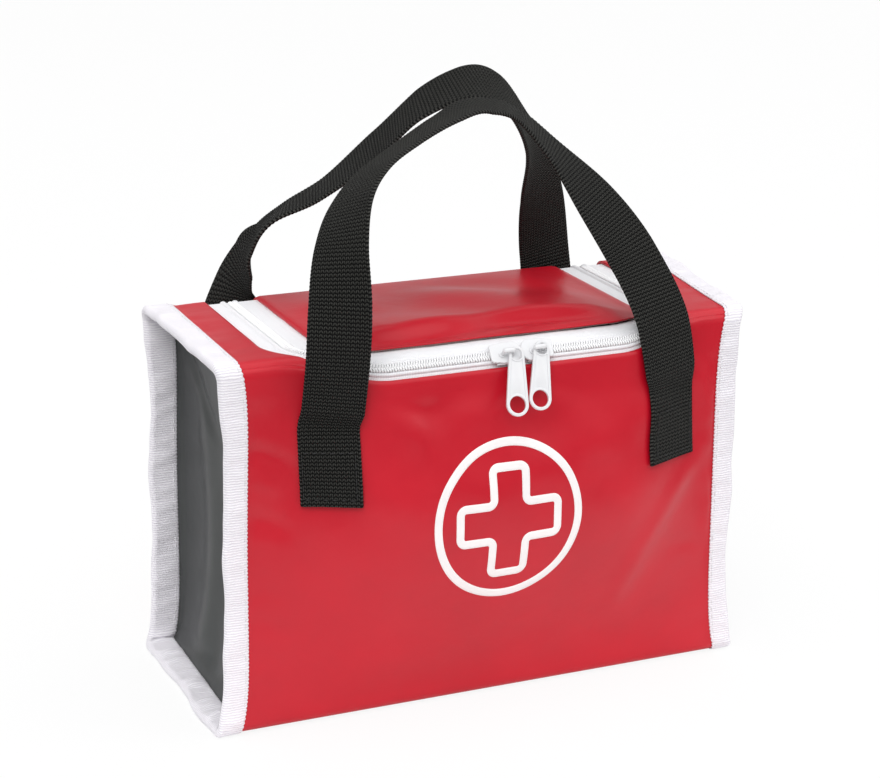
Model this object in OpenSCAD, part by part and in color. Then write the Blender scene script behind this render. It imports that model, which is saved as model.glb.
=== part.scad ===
// Toy doctor case: a soft zipped case of coated sheet, with recessed ends, bound edges,
// a lid that folds on the back edge, a two-way coil zip and two webbing handles.
// X runs along the front, the front faces -Y and the case stands on z = 0.

/* [Case] */
// Width between the two end seams
case_w = 200; // [190:2:212]
// Depth between the front and back faces at the ends
case_d = 94; // [86:2:102]
// Height of the top face
case_h = 144; // [136:2:152]
// Thickness of the coated sheet
sheet_t = 1.2; // [0.8:0.1:1.6]
// Bulge of the front at half height
front_belly = 13; // [6:1:18]
// Bulge of the back at half height
back_belly = 9; // [4:1:14]
// How far the top of the front is pushed out along the zip
front_brow = 12; // [8:1:14]
// How far the end seams are drawn in at half height
waist = 4; // [0:0.5:6]
// How far the left end leans in at the top
left_lean = 4; // [0:0.5:6]
// How far the right end flares out at its top back corner
right_flare = 12; // [0:1:14]
// How far the end panels dip inwards
end_dip = 7; // [2:1:12]
// Sag of the lid at its middle
lid_sag = 2.5; // [0:0.5:4]

/* [Edges] */
// Radius of the top front edge along the zip
front_r = 12; // [10:0.5:14]
// Radius of the top front edge at the ends
end_r = 5; // [4:0.5:7]
// Radius of the top back edge, where the lid folds
back_r = 6; // [5:0.5:8]
// Radius of the bottom edges
foot_r = 4; // [3.5:0.5:6]
// Width of the bound flange past each end seam
fin_w = 10; // [8:0.5:12]
// Thickness of the binding ribbon
ribbon_t = 0.5; // [0.3:0.1:0.8]

/* [Zip] */
// Centre of the zip across the case
zip_x = 3.5; // [0:0.5:5]
// Half of the distance between the two zip legs
zip_half = 76.5; // [72:0.5:78]
// Radius of the zip's two corners
zip_r = 16; // [14:1:20]
// Distance of the zip's middle line up the rounded front edge
zip_up = 8.4; // [7:0.2:10]
// Width of each woven tape
tape_w = 12.8; // [11.6:0.2:14]
// Thickness of the woven tapes
tape_t = 0.6; // [0.4:0.1:0.8]
// Tape left bare between the lid and the teeth
lid_bare = 11; // [9:0.5:11]
// Tape left bare below the front run
front_bare = 5; // [4.5:0.5:7]
// Tape left bare beside the legs
leg_bare = 10; // [8:0.5:11]
// Distance between two teeth of one coil
tooth_pitch = 1.8; // [1.8:0.1:3]
// Reach of a tooth across the tape
tooth_reach = 3; // [2.4:0.1:3.2]
// Height of the coil over its tape
tooth_h = 1.5; // [1.1:0.1:1.6]
// Length of each slider
slider_l = 12; // [11.5:0.5:13]
// Centre of the left slider
left_slider_x = 2; // [-4:0.5:3]
// Distance between the two sliders when they meet
slider_gap = 0.4; // [0.4:0.2:4]
// Length of the pulls
pull_l = 26; // [22:0.5:28]
// Width of the pulls at the hole
pull_w = 8.5; // [8:0.5:9.5]
// Diameter of the finger hole in the pulls
pull_hole = 6.3; // [5:0.1:6.5]

/* [Handles] */
// Width of the webbing
web_w = 25; // [23:0.5:25]
// Thickness of the webbing
web_t = 1.6; // [1.2:0.1:1.8]
// Centre of the front handle across the case
front_grip_x = 2.5; // [1:0.5:4]
// Half of the distance between the front handle's ends
front_grip_half = 69; // [68:0.5:70]
// Half of the distance between the rear handle's ends
rear_grip_half = 70; // [69:0.5:71]
// Height of the lower ends of the webbing
tab_low = 90; // [82:1:94]
// Height at which the webbing leaves the panels and swings
tab_top = 120; // [116:1:122]

/* [Print] */
// Centre of the printed sign across the front
sign_x = 0; // [-4:1:8]
// Height of the centre of the printed sign
sign_z = 78; // [72:1:84]
// Outer radius of the ring
ring_r = 31; // [26:1:34]
// Width of the printed line
line_w = 3.2; // [2.4:0.2:4]
// Half length of the cross
cross_half = 20.5; // [16:0.5:23]
// Half width of the arms of the cross
arm_half = 6.8; // [5:0.2:8]
// Radius of the corners of the cross
cross_r = 2.4; // [2:0.2:3]

/* [Hidden] */

play = 0.05;                        // between sheets that are sewn on each other
gap = 0.3;                          // between pieces that move past each other
lip = ribbon_t + play;              // the bindings' feet under the base
foot_z = lip + foot_r;              // where the front and back faces start
hinge_y = case_d / 2 - back_r;      // line on which the lid folds
hem = fin_w - 1;                    // seam allowance inside the bindings
zip_l = zip_x - zip_half;           // middle line of the left leg
zip_e = zip_x + zip_half;           // middle line of the right leg
run_half = zip_half - zip_r;        // half of the zip's straight front run
straight_half = 46;                 // half of the stretch of the front edge that stays straight
brow_end = case_w / 2 - 13;         // distance at which the front edge has turned back in
slit = 0.55;                        // half of the gap between the two coils
tape_top = -sheet_t - 5 * play;     // the tapes' outer face, under the sheets
tape_low = tape_top - tape_t;
coil_low = tape_top + play;
coil_top = coil_low + tooth_h;

function mix(a, b, t) = a + (b - a) * t;
function unit(v) = v / norm(v);

// ---- the case as one skin: x across, s along it from the top front edge to the back ----

// x of an end seam; side -1 left, 1 right; d depth share from the front; v height share
function end_x(side, d, v) =
    let (drawn = waist * (1 - pow(abs(2 * v - 1), 6)))
    side < 0 ? -(case_w / 2 - drawn - left_lean * pow(v, 3))
             : case_w / 2 - drawn + right_flare * pow(d, 1.2) * pow(v, 3);

// place between the seams: -1 at the left seam, 1 at the right one
function share(x, d, v) =
    let (l = end_x(-1, d, v), r = end_x(1, d, v)) max(-1, min(1, (2 * x - l - r) / (r - l)));

// 0 at the seams, the foot and the rounded top edge, 1 in the middle of the front or back
function belly(x, d, z, top) =
    let (u = share(x, d, z / case_h),
         w = max(0, sin(180 * max(0, min(1, (z - foot_z) / (top - foot_z))))))
    (1 - pow(abs(u), 2.2)) * pow(w, 1.5);

// 1 along the straight stretch of the zip, 0 towards the ends
function brow(x) =
    let (d = abs(x - zip_x) - straight_half)
    d <= 0 ? 1 : pow(cos(min(90, 90 * d / (brow_end - straight_half))), 2);

function top_r(x) = mix(end_r, front_r, brow(x));
function front_y(x, z) =
    let (top = case_h - top_r(x), v = max(0, min(1, (z - foot_z) / (top - foot_z))))
    -(case_d / 2 + front_belly * belly(x, 0, z, top) + front_brow * brow(x) * pow(sin(90 * v), 2));
function back_y(x, z) = case_d / 2 + back_belly * belly(x, 1, z, case_h - back_r);
function edge_y(x) = -(case_d / 2 + front_brow * brow(x));
function arc_len(x) = top_r(x) * PI / 2;
function fold_s(x) = arc_len(x) + hinge_y - edge_y(x) - top_r(x);
function sag(x, y) =
    let (y0 = edge_y(x) + top_r(x), w = max(0, min(1, (y - y0) / (hinge_y - y0))))
    lid_sag * sin(180 * w) * max(0, 1 - pow((x - zip_x) / (zip_half - lid_bare), 2));

// point of the skin: down the front for s < 0, round the edge, over the top, down the back
function skin(x, s) =
    let (r = top_r(x), a = arc_len(x), f = fold_s(x), b = back_r * PI / 2)
    s < 0 ? [x, front_y(x, case_h - r + s), case_h - r + s] :
    s < a ? let (q = s / r * 180 / PI)
        [x, edge_y(x) + r - r * cos(q), case_h - r + r * sin(q)] :
    s < f ? let (y = edge_y(x) + r + s - a) [x, y, case_h - sag(x, y)] :
    s < f + b ? let (q = (s - f) / back_r * 180 / PI)
        [x, hinge_y + back_r * sin(q), case_h - back_r + back_r * cos(q)] :
    let (z = case_h - back_r - (s - f - b)) [x, back_y(x, z), z];

// the same point moved n along the outward normal, which is taken just past an end seam there
function lift(x, s, n, out = 0) =
    let (h = 0.4, c = x + out,
         e = cross(skin(c + h, s) - skin(c - h, s), skin(c, s + h) - skin(c, s - h)))
    skin(x, s) + n * unit(e);

function front_s(x, z) = z - case_h + top_r(x);
function back_s(x, z) = fold_s(x) + back_r * PI / 2 + case_h - back_r - z;

// ---- solids from grids of points ----

function quads(rows, cols, at, loop = false, flip = false) =
    [for (i = [0:rows - 2], j = [0:cols - (loop ? 1 : 2)])
        let (k = (j + 1) % cols, a = at + i * cols + j, b = at + i * cols + k,
             c = a + cols, e = b + cols)
        each (flip ? [[a, b, e], [a, e, c]] : [[a, e, b], [a, c, e]])];

// sheet between two grids of equal size: the outer one first, rows running up and columns right
module sheet(outer, inner) {
    m = len(outer);
    n = len(outer[0]);
    o = m * n;
    pts = concat([for (r = outer) each r], [for (r = inner) each r]);
    rim = concat([for (j = [0:n - 1]) j], [for (i = [1:m - 1]) i * n + n - 1],
        [for (j = [n - 2:-1:0]) (m - 1) * n + j], [for (i = [m - 2:-1:1]) i * n]);
    walls = [for (k = [0:len(rim) - 1])
        let (a = rim[k], b = rim[(k + 1) % len(rim)]) each [[a, b, b + o], [a, b + o, a + o]]];
    polyhedron(concat(pts), concat(quads(m, n, 0), quads(m, n, o, flip = true), walls));
}

function middle(pts) = [for (k = [0:2]) let (c = [for (p = pts) p[k]]) (min(c) + max(c)) / 2];

// closed skin through loops of equal length, closed by its two end caps or onto itself
module loops(rings, closed = false, flip = false) {
    m = len(rings);
    n = len(rings[0]);
    body = quads(m, n, 0, loop = true, flip = flip);
    join = [for (j = [0:n - 1])
        let (k = (j + 1) % n, a = (m - 1) * n + j, b = (m - 1) * n + k)
        each (flip ? [[a, b, k], [a, k, j]] : [[a, k, b], [a, j, k]])];
    top = (m - 1) * n;
    caps = [for (j = [0:n - 1])
        let (k = (j + 1) % n, a = m * n, b = a + 1)
        each (flip ? [[a, k, j], [b, top + j, top + k]] : [[a, j, k], [b, top + k, top + j]])];
    polyhedron(concat([for (r = rings) each r], closed ? [] : [middle(rings[0]),
        middle(rings[m - 1])]), concat(body, closed ? join : caps));
}

// grid of the skin over a list of rows, each a list of [x, s, out]
module skin_sheet(rows, n_out, n_in) {
    sheet([for (r = rows) [for (p = r) lift(p[0], p[1], n_out, p[2])]],
        [for (r = rows) [for (p = r) lift(p[0], p[1], n_in, p[2])]]);
}

// one row across the whole case at height z of the front or back, hems included
function row_across(d, z, front) =
    let (v = z / case_h, l = end_x(-1, d, v), r = end_x(1, d, v), le = zip_x - run_half,
         re = zip_x + run_half, run = front ? 10 : 6, side = front ? 5 : 4,
         xs = concat([[l - hem, -3], [l, -3]],
             [for (k = [1:side - 1]) [mix(l, le, k / side), 0]],
             [for (k = [0:run]) [mix(le, re, k / run), 0]],
             [for (k = [1:side - 1]) [mix(re, r, k / side), 0]], [[r, 3], [r + hem, 3]]))
    [for (p = xs) [p[0], front ? front_s(p[0], z) : back_s(p[0], z), p[1]]];

// ---- pieces of the wrap ----

panel_gap = 0.3;                    // between neighbouring pieces of the wrap
front_rows = 10;
front_top_s = zip_up - front_bare;  // where the front meets the tape

module front_panel() {
    color("crimson") skin_sheet(concat(
        [for (i = [0:front_rows]) let (v = i / front_rows)
            [for (p = row_across(0, mix(foot_z, case_h - front_r, v), true))
                [p[0], mix(front_s(p[0], foot_z), front_bare - tape_w, v), p[2]]]],
        [for (s = [-4, 0, front_top_s / 2, front_top_s])
            [for (p = row_across(0, case_h - front_r / 2, true)) [p[0], s, p[2]]]]),
        0, -sheet_t);
}

module back_panel() {
    rows = 10;
    color("crimson") skin_sheet(concat(
        [for (q = [8, 35, 62])
            [for (p = row_across(1, case_h - 1, false))
                [p[0], fold_s(p[0]) + q / 180 * PI * back_r, p[2]]]],
        [for (i = [0:rows]) row_across(1, mix(case_h - back_r, foot_z, i / rows), false)]), 0, -sheet_t);
}

// ring of the end seam: straight sides and rounded corners, as [y, z, normal y, normal z]
function corner(y, z, r, from, steps) =
    [for (i = [0:steps]) let (a = from - 90 * i / steps)
        [y + r * cos(a), z + r * sin(a), cos(a), sin(a)]];
function side_pts(a, b, n, steps) =
    [for (i = [1:steps - 1]) concat(mix(a, b, i / steps), n)];
seam_ring =
    let (h = case_d / 2)
    concat(corner(-h + end_r, case_h - end_r, end_r, 180, 3),
        side_pts([-h + end_r, case_h], [h - back_r, case_h], [0, 1], 6),
        corner(h - back_r, case_h - back_r, back_r, 90, 3),
        side_pts([h, case_h - back_r], [h, foot_z], [1, 0], 8),
        corner(h - foot_r, foot_z, foot_r, 0, 3),
        side_pts([h - foot_r, lip], [-h + foot_r, lip], [0, -1], 6),
        corner(-h + foot_r, foot_z, foot_r, -90, 3),
        side_pts([-h, foot_z], [-h, case_h - end_r], [-1, 0], 8));

// point of the ring p, e past the seam along x and n outwards from the skin
function seam_pt(side, p, e, n) =
    [end_x(side, (p[0] + case_d / 2) / case_d, p[1] / case_h) + side * e,
     p[0] + n * p[2], p[1] + n * p[3]];

module base_panel() {
    cells = 8;
    ramp = 6;
    h = case_d / 2;
    path = concat(corner(h - foot_r, foot_z, foot_r, 0, 3),
        side_pts([h - foot_r, lip], [h - foot_r - ramp, lip], [0, -1], 2),
        [for (k = [0:4]) [mix(h - foot_r - ramp, -h + foot_r + ramp, k / 4), lip, 0, -1]],
        side_pts([-h + foot_r + ramp, lip], [-h + foot_r, lip], [0, -1], 2),
        corner(-h + foot_r, foot_z, foot_r, -90, 3));
    cols = concat([[-1, -hem], [-1, 0]], [for (k = [0:cells]) [0, 2 * k / cells - 1]],
        [[1, 0], [1, hem]]);
    // the middle of the base drops by the bindings' thickness and lies on the ground
    function at(p, c, n) =
        let (d = (p[0] + h) / case_d, v = p[1] / case_h, l = end_x(-1, d, v), r = end_x(1, d, v),
             inner = c[0] == 0,
             x = inner ? mix(l + ramp, r - ramp, (c[1] + 1) / 2) : (c[0] < 0 ? l : r) + c[1],
             flat = max(0, min(1, (h - foot_r - abs(p[0])) / ramp)),
             drop = inner ? lip * flat : 0)
        [x, p[0] + n * p[2], p[1] + n * p[3] - drop];
    color("crimson") sheet([for (p = path) [for (c = cols) at(p, c, 0)]],
        [for (p = path) [for (c = cols) at(p, c, -sheet_t)]]);
}

// strip of the top between an end seam and the zip, round the zip's corner
module top_strip(side) {
    turn = 5;
    run = 7;
    zx = side < 0 ? zip_l : zip_e;
    cells = 4;
    function row(x0, s0, f) =
        let (seam_d = max(0, min(1, (mix(s0, fold_s(side * case_w / 2), f)
                 - end_r * (PI / 2 - 1)) / case_d)),
             xe = end_x(side, seam_d, 1),
             line = concat([for (k = [0:cells]) [mix(x0, xe, k / cells), k == cells ? side * 3 : 0]],
                 [[xe + side * hem, side * 3]]),
             pts = [for (p = line) [p[0], mix(s0, fold_s(p[0]) - panel_gap, f), p[1]]])
        side > 0 ? pts : [for (i = [len(pts) - 1:-1:0]) pts[i]];
    color("crimson") skin_sheet(concat(
        [for (i = [0:turn])
            let (a = 90 * i / turn)
            row(zx - side * (zip_r - (zip_r + leg_bare) * sin(a)),
                zip_up + zip_r - (zip_r + front_bare - panel_gap) * cos(a), 0)],
        [for (i = [1:run]) row(zx + side * leg_bare, zip_up + zip_r, i / run)]), 0, -sheet_t);
}

// end panel: dips inwards and turns outwards all round to form the inner layer of the flange
module side_panel(side) {
    outer_n = -2 * sheet_t - play;
    inner_n = -sheet_t - play;
    mid_z = case_h / 2;
    function ring(f, back) = [for (p = seam_ring)
        let (q = seam_pt(side, p, 0, back ? inner_n : outer_n), y = q[1] * f,
             z = mix(mid_z, q[2], f), dip = end_dip * (1 - pow(2 * y / case_d, 2))
                 * (1 - pow(z / mid_z - 1, 2)))
        [end_x(side, y / case_d + 0.5, z / case_h) - side * (dip + (back ? sheet_t : 0)), y, z]];
    function edge(e, n) = [for (p = seam_ring) seam_pt(side, p, e, n)];
    color("dimgray") loops(concat(
        [for (f = [0.25, 0.5, 0.75, 1]) ring(f, false)],
        [edge(hem, outer_n), edge(hem, inner_n)],
        [for (f = [1, 0.75, 0.5, 0.25]) ring(f, true)]), flip = side < 0);
}

// ribbon folded over the three layers of the flange, all round the end
module binding(side) {
    n_in = -2 * (sheet_t + play);
    section = [[0.5, play + ribbon_t], [fin_w, play + ribbon_t], [fin_w + ribbon_t, n_in / 2],
        [fin_w, n_in - ribbon_t], [0.5, n_in - ribbon_t], [0.5, n_in], [fin_w - ribbon_t, n_in],
        [fin_w - ribbon_t, play], [0.5, play]];
    color("white") loops([for (p = seam_ring) [for (c = section) seam_pt(side, p, c[0], c[1])]],
        closed = true, flip = side < 0);
}

// stiff board that lies on the base and keeps its edges straight
module base_board() {
    w = case_w - 2 * (waist + end_dip);
    d = case_d - 2 * foot_r - 6;
    color("tan") translate([0, 0, sheet_t + lip + play]) linear_extrude(2)
        offset(r = 4) square([w - 8, d - 8], center = true);
}

// ---- zip ----

// chain at distance t from the middle of its front run, d towards the lid
function chain(t, d) =
    let (side = t < 0 ? -1 : 1, a = abs(t), turn = zip_r * PI / 2,
         zx = side < 0 ? zip_l : zip_e)
    a <= run_half ? [zip_x + t, zip_up + d] :
    a <= run_half + turn ? let (q = (a - run_half) / zip_r * 180 / PI)
        [zx - side * (zip_r - (zip_r - d) * sin(q)), zip_up + zip_r - (zip_r - d) * cos(q)] :
    [zx - side * d, zip_up + zip_r + a - run_half - turn];
leg_len = fold_s(zip_l) - zip_up - zip_r;
chain_half = run_half + zip_r * PI / 2 + leg_len - 0.5;

function chain_pt(t, d, n) = let (c = chain(t, d)) lift(c[0], c[1], n);

module zip_tape(sign, width) {
    steps = [for (i = [-7:-1]) -run_half - zip_r * PI / 2 + (i + 0) * (leg_len - 0.5) / 7,
        each [for (i = [0:4]) -run_half - zip_r * PI / 2 * (1 - i / 5)],
        each [for (i = [0:10]) mix(-run_half, run_half, i / 10)],
        each [for (i = [1:5]) run_half + zip_r * PI / 2 * i / 5],
        each [for (i = [1:7]) run_half + zip_r * PI / 2 + i * (leg_len - 0.5) / 7]];
    offs = [for (k = [0:4]) mix(slit, width, k / 4)];
    // columns run to the right as seen from outside with the rows running along the chain
    ds = sign < 0 ? [for (k = [0:4]) -offs[k]] : [for (k = [4:-1:0]) offs[k]];
    color("whitesmoke") sheet(
        [for (t = steps) [for (d = ds) chain_pt(t, d, tape_top)]],
        [for (t = steps) [for (d = ds) chain_pt(t, d, tape_low)]]);
}

// one coil as a row of ridges, all in one piece of data
module zip_coil(sign) {
    count = floor(chain_half / tooth_pitch);
    half = tooth_pitch * 0.36;
    shift = sign * tooth_pitch / 4;
    cells = [for (i = [-count:count]) i * tooth_pitch + shift];
    pts = [for (t = cells) each [for (d = [slit, tooth_reach])
        each [chain_pt(t - half, sign * d, coil_low), chain_pt(t + half, sign * d, coil_low),
              chain_pt(t, sign * d, coil_top - (d > slit ? 0.4 : 0))]]];
    tris = [[0, 1, 2], [3, 5, 4], [0, 3, 4], [0, 4, 1], [1, 4, 5], [1, 5, 2], [2, 5, 3], [2, 3, 0]];
    color("white") polyhedron(pts, [for (i = [0:len(cells) - 1]) each [for (f = tris)
        sign < 0 ? [f[0] + 6 * i, f[1] + 6 * i, f[2] + 6 * i]
                 : [f[0] + 6 * i, f[2] + 6 * i, f[1] + 6 * i]]]);
}

// the front run's own frame: x along the zip, y up the rounded edge, z outwards
zip_angle = zip_up / front_r * 180 / PI;        // how far the front has turned up there
zip_at = skin(zip_x, zip_up);
module on_run(x) {
    translate([x, zip_at[1], zip_at[2]]) rotate([90 - zip_angle, 0, 0]) children();
}

plate_t = 1;                        // slider plates
rim_t = 0.9;                        // turned-in rims of the top plate
slot = tooth_reach + gap;           // half width of the channel for the coils
slider_half = slot + rim_t;
top_plate = coil_top + gap;
curl = slider_half * slider_half / 2 / (front_r + tape_low);    // the tapes curl off below it
low_plate = tape_low - gap - curl - plate_t;
post_r = 0.6;                       // legs of the bail that carries the pull
post_x = 1.9;
right_slider_x = left_slider_x + slider_l + slider_gap;
bail_h = 3.6;                       // clear height under the bail
pivot_n = top_plate + plate_t + 2.25;

// outline of a plate: straight at its tail, flared and rounded at its head
module plate_shape(head) {
    scale([head, 1]) union() {
        translate([-slider_l / 2, -slider_half + 0.6]) square([slider_l - 4, 2 * slider_half - 1.2]);
        polygon([[-slider_l / 2 + 3, -slider_half + 0.6], [slider_l / 2 - 4, -slider_half],
            [slider_l / 2 - 1.5, -slider_half], [slider_l / 2 - 1.5, slider_half],
            [slider_l / 2 - 4, slider_half], [-slider_l / 2 + 3, slider_half - 0.6]]);
        for (s = [-1, 1]) translate([slider_l / 2 - slider_half / 2 - 0.3, s * slider_half / 2])
            circle(r = slider_half / 2, $fn = 32);
    }
}

// slider with its head towards +X (head = 1) or -X (head = -1)
module slider(x, head) {
    color("white") on_run(x) {
        translate([0, 0, low_plate]) linear_extrude(plate_t) mirror([head < 0 ? 1 : 0, 0])
            plate_shape(1);
        translate([0, 0, top_plate]) linear_extrude(plate_t) mirror([head < 0 ? 1 : 0, 0])
            plate_shape(1);
        // core between the two coils
        translate([head > 0 ? slider_l / 2 - 4.5 : -slider_l / 2 + 1, -slit + gap, low_plate])
            cube([3.5, 2 * (slit - gap), top_plate - low_plate + plate_t / 2]);
        // rims that hold the coils down
        for (s = [-1, 1]) translate([-slider_l / 2 + 2, s > 0 ? slot : -slider_half, tape_top + gap])
            cube([slider_l - 5, rim_t, top_plate - tape_top - gap + plate_t / 2]);
        // bail: two legs and a bar
        for (s = [-1, 1]) translate([s * post_x, 0, top_plate + plate_t / 2])
            cylinder(r = post_r, h = plate_t / 2 + bail_h + 0.5, $fn = 24);
        translate([-post_x - 1.3, 0, top_plate + plate_t + bail_h + 0.6]) rotate([0, 90, 0])
            cylinder(r = 0.8, h = 2 * post_x + 2.6, $fn = 24);
    }
}

// angle at which a pull rests on the lower edge of its slider
rest_fall = atan((pivot_n - top_plate - plate_t - 0.95) / (slider_half + 0.3));
pull_t = 1.2;

eye = 2.1;
neck = eye + 0.85;
pull_drop = pull_l - neck - pull_w / 2;

// outline of a pull: two arcs joined by their common tangents
function pull_line() =
    let (b = asin((pull_w / 2 - neck) / pull_drop))
    concat([for (i = [0:10]) let (a = b + (180 - 2 * b) * i / 10) neck * [cos(a), sin(a)]],
        [for (i = [0:20]) let (a = 180 - b + (180 + 2 * b) * i / 20)
            [pull_w / 2 * cos(a), pull_w / 2 * sin(a) - pull_drop]]);

// pull whose ring hangs round one leg of the bail, off the leg by at most the ring's play
module pull(x, off) {
    color("white") on_run(x + post_x + off) translate([0, 0, pivot_n])
        rotate([rest_fall, 0, 0]) translate([0, 0, -pull_t / 2]) difference() {
            linear_extrude(pull_t) polygon(pull_line());
            translate([0, 0, -1]) cylinder(r = eye, h = pull_t + 2, $fn = 32);
            translate([0, -pull_drop, -1]) cylinder(r = pull_hole / 2, h = pull_t + 2, $fn = 40);
        }
}

// ---- printed sign: a ring and the outline of a cross, printed on the front ----

print_t = 0.25;
print_low = 0.12;                   // the print stands just clear of the flat facets under it
function on_front(x, z, n) = lift(x, front_s(x, z), n);

// closed printed line between two outlines of equal length
module printed(outer, inner) {
    function put(p, n) = on_front(sign_x + p[0], sign_z + p[1], n);
    n = len(outer);
    loops([for (i = [0:n - 1]) [put(outer[i], print_low), put(outer[i], print_low + print_t),
        put(inner[i], print_low + print_t), put(inner[i], print_low)]], closed = true, flip = true);
}

function ring_line(r, count) = [for (i = [0:count - 1]) let (a = 360 * i / count)
    [r * cos(a), r * sin(a)]];
// a cross with rounded corners, grown by g; corners bulge out at the ends and in at the crotches
function cross_line(g) =
    let (l = cross_half + g, w = arm_half + g, steps = 2)
    [for (k = [0:3]) each [for (c = [[l, -w, -90, 1], [l, w, 0, 1], [w, w, -90, -1]])
        let (r = c[3] > 0 ? cross_r + g : cross_r - g)
        each [for (i = [0:steps]) let (a = c[2] + c[3] * 90 * i / steps,
              m = c[3] > 0 ? [c[0] - r, c[1] - sign(c[1]) * r] : [c[0] + r, c[1] + r],
              p = c[3] > 0 ? [m[0] + r * cos(a), m[1] + r * sin(a)]
                           : [m[0] + r * cos(a), m[1] + r * sin(a)])
            [p[0] * cos(90 * k) - p[1] * sin(90 * k), p[0] * sin(90 * k) + p[1] * cos(90 * k)]]]];

module front_emblem() {
    color("white") {
        printed(ring_line(ring_r, 44), ring_line(ring_r - line_w, 44));
        printed(cross_line(line_w / 2), cross_line(-line_w / 2));
    }
}

// ---- handles ----

sewn = 0.4;                         // between the webbing's middle threads and the sheet

// sewn end of a strap on the front or the back, from tab_low up to the swing line
module tab(x, front) {
    cols = 5;
    rows = 5;
    xs = [for (k = [0:cols]) x + mix(-web_w / 2, web_w / 2, k / cols)];
    zs = [for (i = [0:rows]) mix(tab_low, tab_top - gap, i / rows)];
    n = [sewn, sewn + web_t];
    if (front) skin_sheet([for (z = zs) [for (a = xs) [a, front_s(a, z), 0]]], n[1], n[0]);
    else skin_sheet([for (i = [rows:-1:0]) [for (a = xs) [a, back_s(a, zs[i]), 0]]], n[1], n[0]);
}

module front_handle_ends() {
    color("#1d1d1f") for (s = [-1, 1]) tab(front_grip_x + s * front_grip_half, true);
}

module rear_handle_ends() {
    color("#1d1d1f") for (s = [-1, 1]) tab(s * rear_grip_half, false);
}

// drape of each raised handle from one sewn end to the other: x from its middle, y and z from
// where the webbing leaves the panels, then the turn of its width from +X towards -Y and its tilt
front_drape = [
    [-69, 0, gap, 21, 0], [-67.5, -5, 25, 16, 0], [-66, -4, 45, 30, -6], [-63, 2, 64, 50, -16],
    [-56, 11, 77, 62, -24], [-45, 20, 86, 73, -20], [-29, 28, 93, 88, -12], [-11, 34, 100, 98, -4],
    [4, 38, 104, 105, 2], [19, 38, 101, 114, 0], [33, 33, 88, 128, -8], [46, 24, 71, 150, -12],
    [58, 14, 50, 161, -10], [65, 2, 27, 160, -4], [69, -0.3, gap, 158, 0]];
rear_drape = [
    [-70, 0, gap, 0, 0], [-69, 4, 8, 18, 0], [-67, 8, 17, 44, -2], [-65, 9, 26, 68, -3],
    [-63, 5, 36, 86, -3], [-61, -2, 46, 103, -2], [-54, -10, 58, 116, 3], [-37, -17, 68, 117, 13],
    [-18, -26, 85, 113, 25], [-2, -36, 102, 116, 27], [16, -41, 109, 113, 23],
    [31, -38, 103, 113, 17], [46, -27, 84, 121, 4], [58, -13, 59, 150, -6], [67, 1, 30, 172, -4],
    [70, 0, gap, 180, 0]];
front_out = 9.6;                    // the webbing's middle at the creases, out from the seams
rear_out = 4.5;

// the drape set on the case, drawn out or in with the distance between its ends
function set_out(drape, x, half, y) = [for (p = drape)
    [x + p[0] * half / drape[len(drape) - 1][0], y + p[1], tab_top + p[2], p[3], p[4]]];
front_line = set_out(front_drape, front_grip_x, front_grip_half, -case_d / 2 - front_out);
rear_line = set_out(rear_drape, 0, rear_grip_half, case_d / 2 + rear_out);

// point of a smooth line through the points of p, at step i and share t
function along(p, i, t) =
    let (a = p[max(0, i - 1)], b = p[i], c = p[i + 1], e = p[min(len(p) - 1, i + 2)])
    0.5 * (2 * b + (c - a) * t + (2 * a - 5 * b + 4 * c - e) * t * t
        + (3 * b - a - 3 * c + e) * t * t * t);
function xyz(q) = [q[0], q[1], q[2]];

module strap(line, cells) {
    pts = concat([for (i = [0:len(line) - 2], k = [0:cells - 1]) along(line, i, k / cells)],
        [line[len(line) - 1]]);
    m = len(pts);
    color("#1d1d1f") loops([for (i = [0:m - 1])
        let (ends = i == 0 || i == m - 1,
             t = ends ? [0, 0, i == 0 ? 1 : -1]
                      : unit(xyz(pts[min(m - 1, i + 1)]) - xyz(pts[max(0, i - 1)])),
             a = pts[i][3], b = pts[i][4],
             w0 = [cos(a), -sin(a) * cos(b), -sin(a) * sin(b)],
             w = unit(w0 - (w0 * t) * t) * web_w / 2, n = unit(cross(w, t)) * web_t / 2,
             c = xyz(pts[i]))
        [c - w + n, c + w + n, c + w - n, c - w - n]]);
}

// ---- pieces by name ----

module top_left_strip() { top_strip(-1); }
module top_right_strip() { top_strip(1); }
module left_side_panel() { side_panel(-1); }
module right_side_panel() { side_panel(1); }
module left_binding() { binding(-1); }
module right_binding() { binding(1); }
module body_zip_tape() { zip_tape(-1, tape_w); }
module body_zip_coil() { zip_coil(-1); }
module lid_zip_tape() { zip_tape(1, tape_w); }
module lid_zip_coil() { zip_coil(1); }
module left_slider() { slider(left_slider_x, 1); }
module right_slider() { slider(right_slider_x, -1); }
module left_pull() { pull(left_slider_x, 1.1); }
module right_pull() { pull(right_slider_x, -0.2); }
module front_handle() { strap(front_line, 3); }
module rear_handle() { strap(rear_line, 3); }

// the lid: inside the zip, folded on the back edge
module lid_panel() {
    turn = 3;
    run = 9;
    cells = 14;
    function row(xl, xr, s0, f) = [for (k = [0:cells])
        let (x = mix(xl, xr, k / cells)) [x, mix(s0, fold_s(x) - panel_gap, f), 0]];
    inner = zip_r - lid_bare;
    color("crimson") skin_sheet(concat(
        [for (i = [0:turn]) let (a = 90 * i / turn, in = zip_r - inner * sin(a))
            row(zip_l + in, zip_e - in, zip_up + zip_r - inner * cos(a), 0)],
        [for (i = [1:run]) row(zip_l + lid_bare, zip_e - lid_bare, zip_up + zip_r, i / run)]),
        0, -sheet_t);
}

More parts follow.
